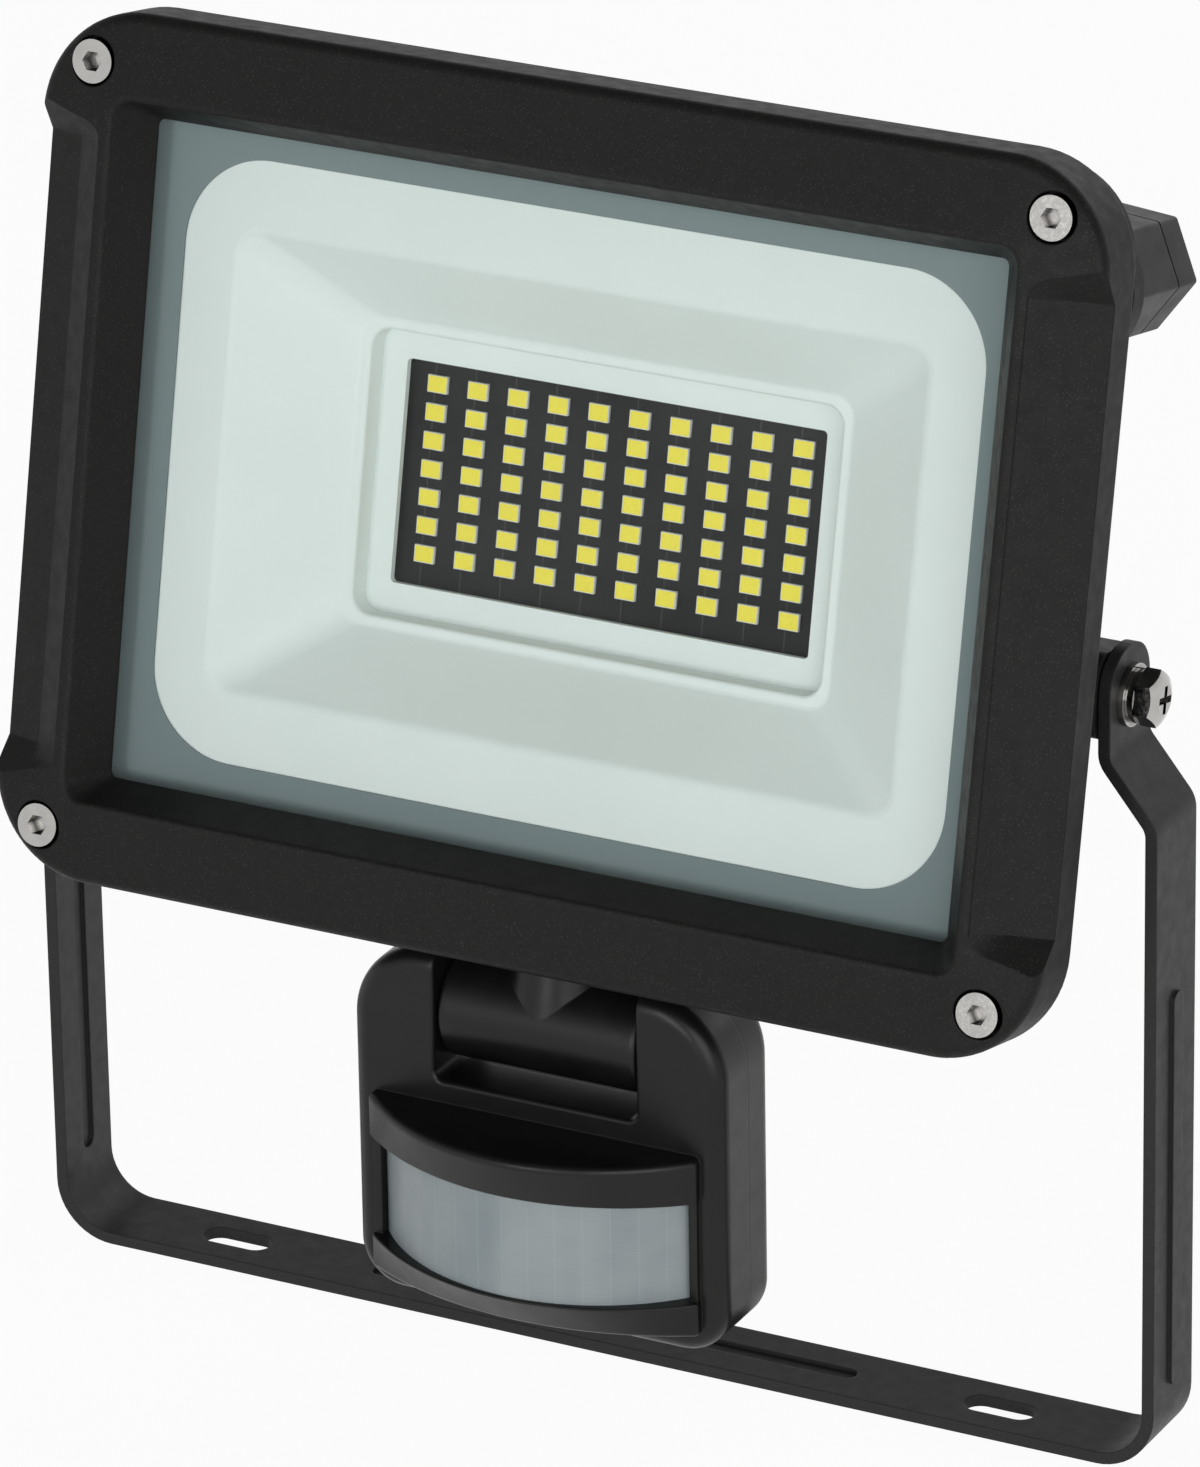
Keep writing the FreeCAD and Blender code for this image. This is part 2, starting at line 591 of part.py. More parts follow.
def head_extrude(owner, kind, name, front, back, draw):
    """A pad or pocket of the head between two depths behind the ridge."""
    return extrude(owner, kind, name, "XZ_Plane", deep(back), deep(front), draw)


# Bracket

def u_bracket():
    """Steel strap bent into a U, with an outward jog below each ear, two slots and pressed beads."""
    strap = body("u_bracket")
    lean = math.atan2(value("(bracket_span - ear_span) / 2"), value("jog_bottom - jog_top"))
    lean_text = "atan((bracket_span - ear_span) / 2 / (jog_bottom - jog_top))"
    outer = [
        ("ear_span / 2", "pivot_height + ear_reach"),
        ("ear_span / 2", "pivot_height - jog_top"),
        ("bracket_span / 2", "pivot_height - jog_bottom"),
        ("bracket_span / 2", "0"),
    ]
    shift = "strap_thickness * tan(%s / 2)" % lean_text
    inner = [
        ("ear_span / 2 - strap_thickness", "pivot_height + ear_reach"),
        ("ear_span / 2 - strap_thickness", "pivot_height - jog_top - " + shift),
        ("bracket_span / 2 - strap_thickness", "pivot_height - jog_bottom - " + shift),
        ("bracket_span / 2 - strap_thickness", "strap_thickness"),
    ]
    left = [(negative(a), b) for a, b in reversed(outer)]
    left_inner = [(negative(a), b) for a, b in inner]
    chain = outer + left + left_inner + list(reversed(inner))
    extrude(strap, "Pad", "strap", "XZ_Plane", "-strap_width / 2", "strap_width / 2", lambda s: polygon(s, chain))

    def bend(corners):
        spots = [(value(a), value(b)) for a, b in corners]
        def test(edge):
            return along(edge, Y) and any(lies(edge, x=side * a, z=b) for a, b in spots for side in (1, -1))
        return test

    soften(strap, "Fillet", "base_inside", "base_bend", bend([inner[3]]))
    soften(strap, "Fillet", "base_outside", "base_bend + strap_thickness", bend([outer[3]]))
    soften(strap, "Fillet", "jog_inside", "jog_bend", bend([outer[1], inner[2]]))
    soften(strap, "Fillet", "jog_outside", "jog_bend + strap_thickness", bend([inner[1], outer[2]]))
    top = value("pivot_height + ear_reach")
    soften(strap, "Fillet", "ear_corners", "ear_corner", lambda edge: along(edge, X) and lies(edge, z=top))
    extrude(strap, "Pocket", "pivot_holes", "YZ_Plane", "-bracket_span", "bracket_span",
            lambda s: circle(s, "0", "pivot_height", "pivot_screw_radius + turn_gap"))

    def slots(s):
        slot(s, "slot_spacing / 2", "0", "slot_length", "slot_width")
        slot(s, "-slot_spacing / 2", "0", "slot_length", "slot_width")

    extrude(strap, "Pocket", "mounting_slots", "XY_Plane", "-strap_thickness", "2 * strap_thickness", slots)
    extrude(strap, "Pocket", "base_bead", "XY_Plane", "strap_thickness - bead_depth", "strap_thickness + bead_depth",
            lambda s: slot(s, "0", "0", "base_bead_length", "bead_width"))
    bead_middle = "(arm_bead_low + arm_bead_high) / 2"
    bead_length = "arm_bead_high - arm_bead_low"
    inside = "bracket_span / 2 - strap_thickness"
    hollow = extrude(strap, "Pocket", "arm_bead_hollow", "YZ_Plane", inside + " - bead_depth", inside + " + bead_depth",
                     lambda s: slot(s, "0", bead_middle, bead_length, "bead_width", True))
    ridge = extrude(strap, "Pad", "arm_bead_ridge", "YZ_Plane", "bracket_span / 2 - bead_depth", "bracket_span / 2 + bead_depth",
                    lambda s: slot(s, "0", bead_middle, bead_length, "bead_width", True))
    mirror(strap, "arm_beads", [hollow, ridge], "YZ_Plane")
    fixed(strap, "u_bracket")


# Lamp head

def corners(spacing_x, spacing_z):
    """The four corners of a rectangle around the frame's centre."""
    return [("%s * %s / 2" % (sx, spacing_x), "head_rise + %s * %s / 2" % (sz, spacing_z)) for sx in (1, -1) for sz in (1, -1)]


def front_frame():
    """Cast front frame: a ridge around the glass, a face that falls away from it, and a hollow bay at each side."""
    frame = body("front_frame")
    head_extrude(frame, "Pad", "rim", "0", "frame_depth",
                 lambda s: rounded(s, "0", "head_rise", "frame_width", "frame_height", "frame_corner"))
    front = -value("head_reach")
    slope = soften(frame, "Chamfer", "face", "face_width", lambda edge: lies(edge, y=front))
    slope.ChamferType = "Two distances"
    tie(slope, "Size2", "face_fall")
    doc.recompute()
    probe = FreeCAD.Vector(value("frame_width / 2 - frame_edge"), front + value("face_fall") * 0.5, value("head_rise"))
    if slope.Shape.isInside(probe, 1e-6, True):
        slope.FlipDirection = True
        doc.recompute()
    shoulder = front + value("face_fall")
    soften(frame, "Fillet", "outer_edge", "frame_edge", lambda edge: lies(edge, y=shoulder))
    rear = front + value("frame_depth")
    soften(frame, "Fillet", "rear_edge", "frame_rear_edge", lambda edge: lies(edge, y=rear))
    loft(frame, "SubtractiveLoft", "mouth", "XZ_Plane", [
        (deep("-0.2 * glass_depth"), lambda s: rounded(s, "0", "head_rise", "ridge_width + (ridge_width - opening_width) / 5",
                                   "ridge_height + (ridge_height - opening_height) / 5", "ridge_corner")),
        (deep("glass_depth"), lambda s: rounded(s, "0", "head_rise", "opening_width", "opening_height", "opening_corner")),
    ])
    soften(frame, "Fillet", "ridge", "ridge_round",
           lambda edge: lies(edge, y=front) and abs(edge.CenterOfMass.x) < value("ridge_width / 2 + 0.5")
           and abs(edge.CenterOfMass.z - value("head_rise")) < value("ridge_height / 2 + 0.5"))
    head_extrude(frame, "Pocket", "glass_seat", "glass_depth", "frame_depth + glass_depth", lambda s: rounded(
        s, "0", "head_rise", "opening_width + 2 * (glass_bearing + fit_gap)", "opening_height + 2 * (glass_bearing + fit_gap)",
        "2 * opening_corner"))

    # In plan, a bay falls from the ridge to its bend line and on to the outer edge.
    def bay_section(lift):
        far = "frame_width / 2 + frame_edge"
        fall = "(bay_edge_fall + (bay_edge_fall - bay_fall) * frame_edge / (frame_width / 2 - bay_line))"
        return [
            ("bay_inner", "-head_reach - 3 * frame_edge"),
            (far, "-head_reach - 3 * frame_edge"),
            (far, "-head_reach + %s - %s * bay_edge_fall" % (fall, lift)),
            ("bay_line", "-head_reach + bay_fall - %s * bay_edge_fall" % lift),
            ("bay_inner", "-head_reach + 0.35 - %s * face_fall" % lift),
        ]

    full_end = "bay_length / 2"
    far_end = "bay_length / 2 + bay_run"
    bay = loft(frame, "SubtractiveLoft", "bay", "XY_Plane", [
        ("head_rise - (%s)" % far_end, lambda s: polygon(s, bay_section("1"))),
        ("head_rise - (%s)" % full_end, lambda s: polygon(s, bay_section("0"))),
        ("head_rise + (%s)" % full_end, lambda s: polygon(s, bay_section("0"))),
        ("head_rise + (%s)" % far_end, lambda s: polygon(s, bay_section("1"))),
    ])
    mirror(frame, "bays", [bay], "YZ_Plane")

    def holes(radius):
        def draw(s):
            for x, z in corners("screw_spacing_x", "screw_spacing_z"):
                circle(s, x, z, radius)
        return draw

    head_extrude(frame, "Pocket", "screw_holes", "-frame_edge", "frame_depth + frame_edge", holes("screw_radius + turn_gap"))
    head_extrude(frame, "Pocket", "counterbores", "-frame_depth", "screw_head_depth + screw_head_height", holes("counterbore_radius"))
    on_head(frame, "front_frame")


def front_glass():
    """Toughened glass plate."""
    glass = body("front_glass")
    head_extrude(glass, "Pad", "plate", "glass_depth", "glass_depth + glass_thickness", lambda s: rounded(
        s, "0", "head_rise", "opening_width + 2 * glass_bearing", "opening_height + 2 * glass_bearing", "2 * opening_corner - fit_gap"))
    on_head(glass, "front_glass")


PRINT = "glass_depth + glass_thickness"
SEAL = PRINT + " + print_thickness"


def glass_print():
    """Grey border printed on the back of the glass."""
    border = body("glass_print")
    head_extrude(border, "Pad", "ink", PRINT, SEAL, lambda s: (
        rounded(s, "0", "head_rise", "opening_width + 2 * glass_bearing - 2 * fit_gap",
                "opening_height + 2 * glass_bearing - 2 * fit_gap", "opening_corner"),
        rounded(s, "0", "head_rise", "window_width", "window_height", "window_corner")))
    on_head(border, "glass_print")


def glass_seal():
    """Silicone ring between the glass and the housing's flange."""
    ring = body("glass_seal")
    head_extrude(ring, "Pad", "ring", SEAL, "frame_depth", lambda s: (
        rounded(s, "0", "head_rise", "opening_width + 2 * glass_bearing", "opening_height + 2 * glass_bearing",
                "2 * opening_corner - fit_gap"),
        rounded(s, "0", "head_rise", "opening_width", "opening_height", "opening_corner")))
    on_head(ring, "glass_seal")


RIM = SEAL + " + fit_gap / 2"


def reflector():
    """Moulded white tray: flat rim, four sloping sides that meet in creases, and a sunk tray around the board."""
    tray = body("reflector")
    wall = "reflector_wall"
    head_extrude(tray, "Pad", "rim", RIM, RIM + " + " + wall, lambda s: rounded(
        s, "0", "head_rise", "opening_width - 4 * fit_gap", "opening_height - 4 * fit_gap", "opening_corner"))

    def mouth(extra):
        return lambda s: rounded(s, "0", "head_rise", "rim_width + 2 * " + extra, "rim_height + 2 * " + extra,
                                 "mouth_corner + " + extra)

    def foot(extra):
        return lambda s: rounded(s, "0", "head_rise", "foot_width + 2 * " + extra, "foot_height + 2 * " + extra,
                                 "foot_corner + " + extra)

    loft(tray, "AdditiveLoft", "outer_slope", "XZ_Plane", [(deep(RIM + " + reflector_wall / 2"), mouth(wall)), (deep("foot_depth"), foot(wall))])
    head_extrude(tray, "Pad", "step", "foot_depth - reflector_wall", "foot_depth + reflector_wall", foot(wall))
    head_extrude(tray, "Pad", "well", "foot_depth", "tray_depth + reflector_wall", foot("(reflector_wall - tray_inset)"))
    loft(tray, "SubtractiveLoft", "inner_slope", "XZ_Plane", [(deep(RIM), mouth("0")), (deep("foot_depth"), foot("0"))])

    def ring(depth, width, height):
        """The edges at a depth behind the ridge that run round a rectangle of this size."""
        level = value(depth + " - head_reach")
        reach_x, reach_z = value(width + " / 2"), value(height + " / 2")

        def test(edge):
            spot = edge.CenterOfMass
            side = max(abs(spot.x) / reach_x, abs(spot.z - value("head_rise")) / reach_z)
            return lies(edge, y=level) and 0.9 < side < 1.001
        return test

    soften(tray, "Fillet", "mouth_edge", "mouth_round", ring(RIM, "rim_width", "rim_height"))
    soften(tray, "Fillet", "foot_edge", "foot_round", ring("foot_depth", "foot_width", "foot_height"))
    head_extrude(tray, "Pocket", "sunk_tray", "foot_depth - reflector_wall", "tray_depth", lambda s: rounded(
        s, "0", "head_rise", "foot_width - 2 * tray_inset", "foot_height - 2 * tray_inset", "tray_corner"))
    soften(tray, "Fillet", "tray_edge", "tray_round",
           ring("foot_depth", "(foot_width - 2 * tray_inset)", "(foot_height - 2 * tray_inset)"))
    head_extrude(tray, "Pocket", "port", "tray_depth - reflector_wall", "tray_depth + 2 * reflector_wall", lambda s: rounded(
        s, "0", "head_rise", "port_width", "port_height", "port_corner"))
    on_head(tray, "reflector")


BOARD = "cavity_depth - board_thickness"


def board_holes(s):
    for x, z in corners("(board_width - 2 * board_margin)", "(board_height - 2 * board_margin)"):
        circle(s, x, z, "1.5 + turn_gap")


def led_board():
    """Aluminium-core circuit board on the housing's floor."""
    plate = body("led_board")
    head_extrude(plate, "Pad", "plate", BOARD, "cavity_depth", lambda s: rounded(s, "0", "head_rise", "board_width", "board_height", "2"))
    head_extrude(plate, "Pocket", "fixing_holes", BOARD + " - 1", "cavity_depth + 1", board_holes)
    on_head(plate, "led_board")


def diode_places():
    across, up = round(value("diode_columns")), round(value("diode_rows"))
    for column in range(across):
        for row in range(up):
            x = (column - (across - 1) / 2) * value("diode_pitch_x")
            z = value("head_rise + diode_rise") + (row - (up - 1) / 2) * value("diode_pitch_z")
            yield x, z


def diodes():
    """The grid of light-emitting diodes: white packages, each with a well of yellow phosphor."""
    face = value("cavity_depth - board_thickness - diode_thickness - head_reach")
    wide, high, thick = value("diode_width"), value("diode_height"), value("diode_thickness")
    glow_wide, glow_high, glow = value("phosphor_width"), value("phosphor_height"), value("phosphor_depth")
    packages, wells = [], []
    for x, z in diode_places():
        package = Part.makeBox(wide, thick, high, FreeCAD.Vector(x - wide / 2, face, z - high / 2))
        well = Part.makeBox(glow_wide, glow, glow_high, FreeCAD.Vector(x - glow_wide / 2, face, z - glow_high / 2))
        packages.append(package.cut(well))
        wells.append(well)
    for label, shapes in (("led_packages", packages), ("led_phosphor", wells)):
        made = doc.addObject("Part::Feature", label)
        made.Shape = Part.makeCompound(shapes)
        on_head(made, label)


def head_screws(label, places, radius, head_radius, head_height, face, length, socket):
    """Screws along the head's depth: round heads with a hexagon socket, and plain shanks."""
    made = []
    for number, (x, z) in enumerate(places):
        tag = "%s_%d_" % (label, number)
        start = "(%s) - head_reach" % face
        head = rod(tag + "head", head_radius, head_height, x, start, z, "Y")
        shank = rod(tag + "shank", radius, "(%s) + (%s) / 2" % (length, head_height), x, "%s + (%s) / 2" % (start, head_height), z, "Y")
        drive = hexagon(tag + "drive", socket, "(%s)" % head_height, x, "%s - (%s) / 2" % (start, head_height), z, "Y")
        made.append(cut(tag + "screw", fuse(tag + "blank", [head, shank]), drive))
    return group(label + "_group", made)


def rear_housing():
    """Cast housing: flange, tapering shell with fins, pivot bosses, gland boss and the hollow for the lamp's inside."""
    shell = body("rear_housing")
    back = "cavity_depth + floor_thickness"
    head_extrude(shell, "Pad", "flange", "frame_depth", "frame_depth + flange_thickness", lambda s: rounded(
        s, "0", "head_rise", "flange_width", "flange_height", "flange_corner"))
    loft(shell, "AdditiveLoft", "taper", "XZ_Plane", [
        (deep("frame_depth + flange_thickness"), lambda s: rounded(s, "0", "head_rise", "shell_width", "shell_height", "shell_corner")),
        (deep(back), lambda s: rounded(s, "0", "head_rise", "back_width", "back_height", "shell_corner")),
    ])
    fin = head_extrude(shell, "Pad", "fin", back + " - 1", back + " + fin_height", lambda s: rectangle(
        s, "-fin_spread / 2 - fin_thickness / 2", "-fin_spread / 2 + fin_thickness / 2",
        "head_rise - fin_length / 2", "head_rise + fin_length / 2"))
    fins = shell.newObject("PartDesign::LinearPattern", "fins")
    fins.Originals = [fin]
    fins.Direction = ([item for item in shell.Origin.OriginFeatures if item.Role == "X_Axis"][0], [""])
    tie(fins, "Length", "fin_spread")
    tie(fins, "Occurrences", "fin_count")
    shell.Tip = fins
    doc.recompute()
    head_extrude(shell, "Pad", "gland_boss", back + " - 1", back + " + gland_boss", lambda s: circle(
        s, "gland_x", "head_rise + gland_z", "gland_flats / 2 + 3.4"))
    head_extrude(shell, "Pocket", "gland_clearance", back + " + gland_boss", back + " + gland_boss + 2 * fin_height", lambda s: circle(
        s, "gland_x", "head_rise + gland_z", "gland_flats / 2 + 3.4"))
    face = "ear_span / 2 - strap_thickness - fit_gap"
    boss = extrude(shell, "Pad", "pivot_boss", "YZ_Plane", "opening_width / 2 + 4", face, lambda s: rounded(
        s, "0", "0", "boss_depth", "boss_height", "boss_round"))
    hole = extrude(shell, "Pocket", "pivot_thread", "YZ_Plane", face + " + fit_gap + strap_thickness + washer_thickness"
                   " + spring_thickness - pivot_screw_length - 0.5", face + " + 1", lambda s: circle(s, "0", "0", "pivot_screw_radius + 0.02"))
    mirror(shell, "pivots", [boss, hole], "YZ_Plane")
    head_extrude(shell, "Pocket", "hollow", "frame_depth - 1", "cavity_depth", lambda s: rounded(
        s, "0", "head_rise", "opening_width", "opening_height", "opening_corner + 2"))

    def threads(s):
        for x, z in corners("screw_spacing_x", "screw_spacing_z"):
            circle(s, x, z, "screw_radius + 0.02")

    head_extrude(shell, "Pocket", "frame_threads", "frame_depth - 1", "frame_depth + flange_thickness + 1", threads)
    head_extrude(shell, "Pocket", "board_threads", "cavity_depth - 1", back + " - 0.6", lambda s: [
        circle(s, x, z, "1.52") for x, z in corners("(board_width - 2 * board_margin)", "(board_height - 2 * board_margin)")])
    head_extrude(shell, "Pocket", "gland_thread", "cavity_depth", back + " + gland_boss + 1", lambda s: circle(
        s, "gland_x", "head_rise + gland_z", "gland_thread + 0.02"))
    extrude(shell, "Pad", "neck_boss", "XY_Plane", "head_rise - flange_height / 2", "head_rise - opening_height / 2 - floor_thickness",
            lambda s: circle(s, "0", HINGE_Y, "neck_boss_radius"))
    extrude(shell, "Pocket", "neck_hole", "XY_Plane", "head_rise - shell_height", "head_rise - opening_height / 2 + 1",
            lambda s: circle(s, "0", HINGE_Y, "spigot_radius + turn_gap"))
    posts = head_extrude(shell, "Pad", "driver_posts", "cavity_depth - driver_standoff", "cavity_depth + 1", lambda s: [
        circle(s, "-driver_place", "head_rise + %s * (driver_height / 2 - driver_margin)" % sign, "2.6") for sign in (1, -1)])
    head_extrude(shell, "Pocket", "driver_threads", "cavity_depth - driver_standoff - 1", "cavity_depth + floor_thickness - 0.6", lambda s: [
        circle(s, "-driver_place", "head_rise + %s * (driver_height / 2 - driver_margin)" % sign, "1.02") for sign in (1, -1)])
    on_head(shell, "rear_housing")


def driver():
    """Driver board on two posts beside the reflector, with its tall parts and screws, and the terminal block."""
    front = "cavity_depth - driver_standoff - 1.6 - head_reach"
    plate = block("driver_plate", "driver_width", "1.6", "driver_height", "-driver_place", front, "head_rise - driver_height / 2")
    holes = [rod("driver_hole_%d" % n, "1 + turn_gap", "4", "-driver_place", front + " - 1",
                 "head_rise + %s * (driver_height / 2 - driver_margin)" % sign, "Y") for n, sign in enumerate((1, -1))]
    on_head(cut("driver_board_cut", plate, fuse("driver_holes", holes)), "driver_board")
    choke = block("driver_choke", "14", "8", "16", "-driver_place", front + " - 8", "head_rise + 14")
    filter_coil = block("driver_filter", "10", "7", "12", "-driver_place - 3", front + " - 7", "head_rise - 26")
    can = rod("driver_can", "5", "14", "-driver_place - 2", front + " - 5", "head_rise - 8", "Z")
    can_foot = block("driver_can_foot", "6", "3", "14", "-driver_place - 2", front + " - 3", "head_rise - 8")
    on_head(group("driver_parts_group", [choke, filter_coil, fuse("driver_capacitor", [can, can_foot])]), "driver_parts")
    terminal = block("terminal_body", "12", "9", "20", "board_width / 2 + 2 * inner_gap + 7", "cavity_depth - 9 - head_reach", "head_rise + 8")
    ways = [rod("terminal_way_%d" % n, "1.7", "8", "board_width / 2 + 2 * inner_gap", "cavity_depth - 5 - head_reach",
                "head_rise + 18 + %d * 6" % (n - 1), "X") for n in range(3)]
    on_head(cut("terminal_cut", terminal, fuse("terminal_ways", ways)), "terminal_block")
    screws = head_screws("driver_screws", [("-driver_place", "head_rise + %s * (driver_height / 2 - driver_margin)" % sign) for sign in (1, -1)],
                         "1", "2", "1.4", "cavity_depth - driver_standoff - 1.6 - 1.4", "6", "1.2")
    on_head(screws, "driver_screws")


def fasteners():
    """The frame's four socket screws and the light board's four screws."""
    frame = head_screws("frame_screws", corners("screw_spacing_x", "screw_spacing_z"), "screw_radius", "screw_head_radius",
                        "screw_head_height", "screw_head_depth", "frame_depth + flange_thickness - 0.6 - screw_head_depth - screw_head_height",
                        "screw_socket")
    on_head(frame, "frame_screws")
    board = head_screws("board_screws", corners("(board_width - 2 * board_margin)", "(board_height - 2 * board_margin)"), "1.5", "2.6", "1.6",
                        BOARD + " - 1.6", "board_thickness + floor_thickness - 1", "1.6")
    on_head(board, "board_screws")


def pivots():
    """At each ear: hexagon-head screw with a cross recess, split spring washer and flat washer."""
    screws, springs, washers = [], [], []
    for side, sign in (("right", 1), ("left", -1)):
        tag = side + "_"
        ear = "ear_span / 2"

        def place(start, length):
            return "%s" % start if sign > 0 else "-(%s) - (%s)" % (start, length)

        flat = rod(tag + "flat", "washer_radius", "washer_thickness", place(ear, "washer_thickness"), "0", "0", "X")
        bore = rod(tag + "flat_bore", "pivot_screw_radius + turn_gap", "3 * washer_thickness",
                   place(ear + " - washer_thickness", "3 * washer_thickness"), "0", "0", "X")
        washers.append(cut(tag + "washer", flat, bore))
        start = ear + " + washer_thickness"
        ring = rod(tag + "ring", "spring_radius", "spring_thickness", place(start, "spring_thickness"), "0", "0", "X")
        ring_bore = rod(tag + "ring_bore", "pivot_screw_radius + turn_gap", "3 * spring_thickness",
                        place(start + " - spring_thickness", "3 * spring_thickness"), "0", "0", "X")
        split = block(tag + "split", "3 * spring_thickness", "0.8", "spring_radius + 1",
                      place(start + " - spring_thickness", "3 * spring_thickness") + " + 1.5 * spring_thickness", "-0.4", "0")
        springs.append(cut(tag + "spring", ring, fuse(tag + "spring_cuts", [ring_bore, split])))
        seat = start + " + spring_thickness"
        head = hexagon(tag + "hex", "hex_flats", "hex_height", place(seat, "hex_height"), "0", "0", "X")
        dome = doc.addObject("Part::Sphere", tag + "dome")
        tie(dome, "Radius", "hex_height * 2.2")
        move(dome, ("%s - hex_height * 1.1" % seat) if sign > 0 else "-(%s - hex_height * 1.1)" % seat, "0", "0")
        rounded_head = doc.addObject("Part::Common", tag + "rounded_head")
        rounded_head.Base = head
        rounded_head.Tool = dome
        shank = rod(tag + "shank", "pivot_screw_radius", "pivot_screw_length + 1",
                    place(seat + " - pivot_screw_length", "pivot_screw_length + 1"), "0", "0", "X")
        cross = []
        for name, deep_y, deep_z in (("bar", "4.4", "1.1"), ("stem", "1.1", "4.4")):
            cross.append(block(tag + "cross_" + name, "2.4", deep_y, deep_z,
                               ("(%s) + hex_height" % seat) if sign > 0 else "-(%s) - hex_height" % seat,
                               "-(%s) / 2" % deep_y, "-(%s) / 2" % deep_z))
        screws.append(cut(tag + "pivot_screw", fuse(tag + "pivot_blank", [rounded_head, shank]), fuse(tag + "cross", cross)))
    on_head(group("pivot_screw_pair", screws), "pivot_screws")
    on_head(group("spring_washer_pair", springs), "spring_washers")
    on_head(group("flat_washer_pair", washers), "flat_washers")


def hexagon_corners(scale="1"):
    """Corners of the gland's hexagon, turned a little about its axis."""
    spots = []
    for k in range(6):
        angle = "(%d - gland_turn) * 1deg" % (60 * k)
        reach = "gland_flats / sqrt(3) * " + scale
        spots.append(("gland_x + %s * cos(%s)" % (reach, angle), "head_rise + gland_z + %s * sin(%s)" % (reach, angle)))
    return spots


def gland():
    """Cable gland on the back: hexagonal body, rubber sleeve and hexagonal nut."""
    seat = "cavity_depth + floor_thickness + gland_boss"
    middle = ("gland_x", "head_rise + gland_z")
    stem = body("gland_body")
    head_extrude(stem, "Pad", "hexagon", seat, seat + " + gland_length", lambda s: polygon(s, hexagon_corners()))
    soften(stem, "Fillet", "hexagon_edges", "0.8", lambda edge: along(edge, Y))
    head_extrude(stem, "Pad", "thread", "cavity_depth + 0.3", seat + " + 1", lambda s: circle(s, *middle, "gland_thread"))
    head_extrude(stem, "Pad", "collet", seat + " + gland_length - 1", seat + " + gland_length + gland_nut_length * 0.6",
                 lambda s: circle(s, *middle, "gland_thread + 1"))
    head_extrude(stem, "Pocket", "wire_way", "cavity_depth - 1", seat + " + 2 * gland_length", lambda s: circle(s, *middle, "gland_bore"))
    head_extrude(stem, "Pocket", "sleeve_seat", seat + " + gland_length * 0.5", seat + " + 2 * gland_length",
                 lambda s: circle(s, *middle, "gland_thread - 0.4"))
    on_head(stem, "gland_body")
    sleeve = body("gland_seal")
    head_extrude(sleeve, "Pad", "sleeve", seat + " + gland_length * 0.5", seat + " + gland_length + gland_nut_length * 0.6", lambda s: (
        circle(s, *middle, "gland_thread - 0.45"), circle(s, *middle, "gland_bore + 0.2")))
    on_head(sleeve, "gland_seal")
    nut = body("gland_nut")
    begin = seat + " + gland_length + gland_split"
    head_extrude(nut, "Pad", "hexagon", begin, begin + " + gland_nut_length", lambda s: polygon(s, hexagon_corners()))
    soften(nut, "Fillet", "hexagon_edges", "0.8", lambda edge: along(edge, Y))
    end = value(begin + " + gland_nut_length - head_reach")
    soften(nut, "Chamfer", "end_edge", "0.8", lambda edge: lies(edge, y=end))
    head_extrude(nut, "Pocket", "thread", begin + " - 1", seat + " + gland_length + gland_nut_length * 0.6 + 0.2",
                 lambda s: circle(s, *middle, "gland_thread + 1.03"))
    head_extrude(nut, "Pocket", "cable_hole", begin, begin + " + 2 * gland_nut_length", lambda s: circle(s, *middle, "gland_bore + 1"))
    on_head(nut, "gland_nut")


# Neck and sensor

def neck():
    """Swivel neck: a stem that turns in the housing's underside, and the hinge barrel at its foot."""
    under = "(head_rise - opening_height / 2)"
    underside = "(head_rise - flange_height / 2 - fit_gap)"
    stem = body("sensor_neck")
    extrude(stem, "Pad", "stem", "XY_Plane", HINGE_Z, underside, lambda s: circle(s, "0", HINGE_Y, "neck_radius"))
    extrude(stem, "Pad", "barrel", "YZ_Plane", "-barrel_length / 2", "barrel_length / 2",
            lambda s: circle(s, HINGE_Y, HINGE_Z, "barrel_radius"))
    end = value("barrel_length / 2")
    soften(stem, "Fillet", "barrel_edges", "barrel_edge", lambda edge: lies(edge, x=end) or lies(edge, x=-end))
    extrude(stem, "Pad", "spigot", "XY_Plane", underside + " - 1", under + " + 3 * clip_thickness", lambda s: circle(s, "0", HINGE_Y, "spigot_radius"))
    extrude(stem, "Pocket", "clip_groove", "XY_Plane", under + " + turn_gap", under + " + 3 * turn_gap + clip_thickness", lambda s: (
        circle(s, "0", HINGE_Y, "spigot_radius + 1"), circle(s, "0", HINGE_Y, "spigot_radius - 1")))
    extrude(stem, "Pocket", "pin_bore", "YZ_Plane", "-barrel_length", "barrel_length", lambda s: circle(s, HINGE_Y, HINGE_Z, "pin_radius + turn_gap"))
    exit_height = HINGE_Z + " + barrel_radius + 1.5 * wire_radius"
    extrude(stem, "Pocket", "wire_way", "XY_Plane", exit_height, under + " + 8", lambda s: circle(s, "0", HINGE_Y, "wire_radius"))
    extrude(stem, "Pocket", "wire_exit", "XZ_Plane", negative(HINGE_Y + " + 2 * neck_radius"), negative(HINGE_Y),
            lambda s: circle(s, "0", exit_height, "wire_radius"))
    on_head(stem, "sensor_neck")
    ring = rod("clip_ring", "clip_radius", "clip_thickness", "0", HINGE_Y, under + " + turn_gap", "Z")
    bore = rod("clip_bore", "spigot_radius - 1 + turn_gap", "3 * clip_thickness", "0", HINGE_Y, under + " - clip_thickness", "Z")
    mouth = block("clip_mouth", "3", "clip_radius + 1", "3 * clip_thickness", "0", HINGE_Y + " - clip_radius - 1", under + " - clip_thickness")
    on_head(cut("clip_cut", ring, fuse("clip_cuts", [bore, mouth])), "neck_clip")


def outline(s):
    rectangle(s, "-sensor_width / 2", "sensor_width / 2", "-sensor_bottom", "sensor_top")


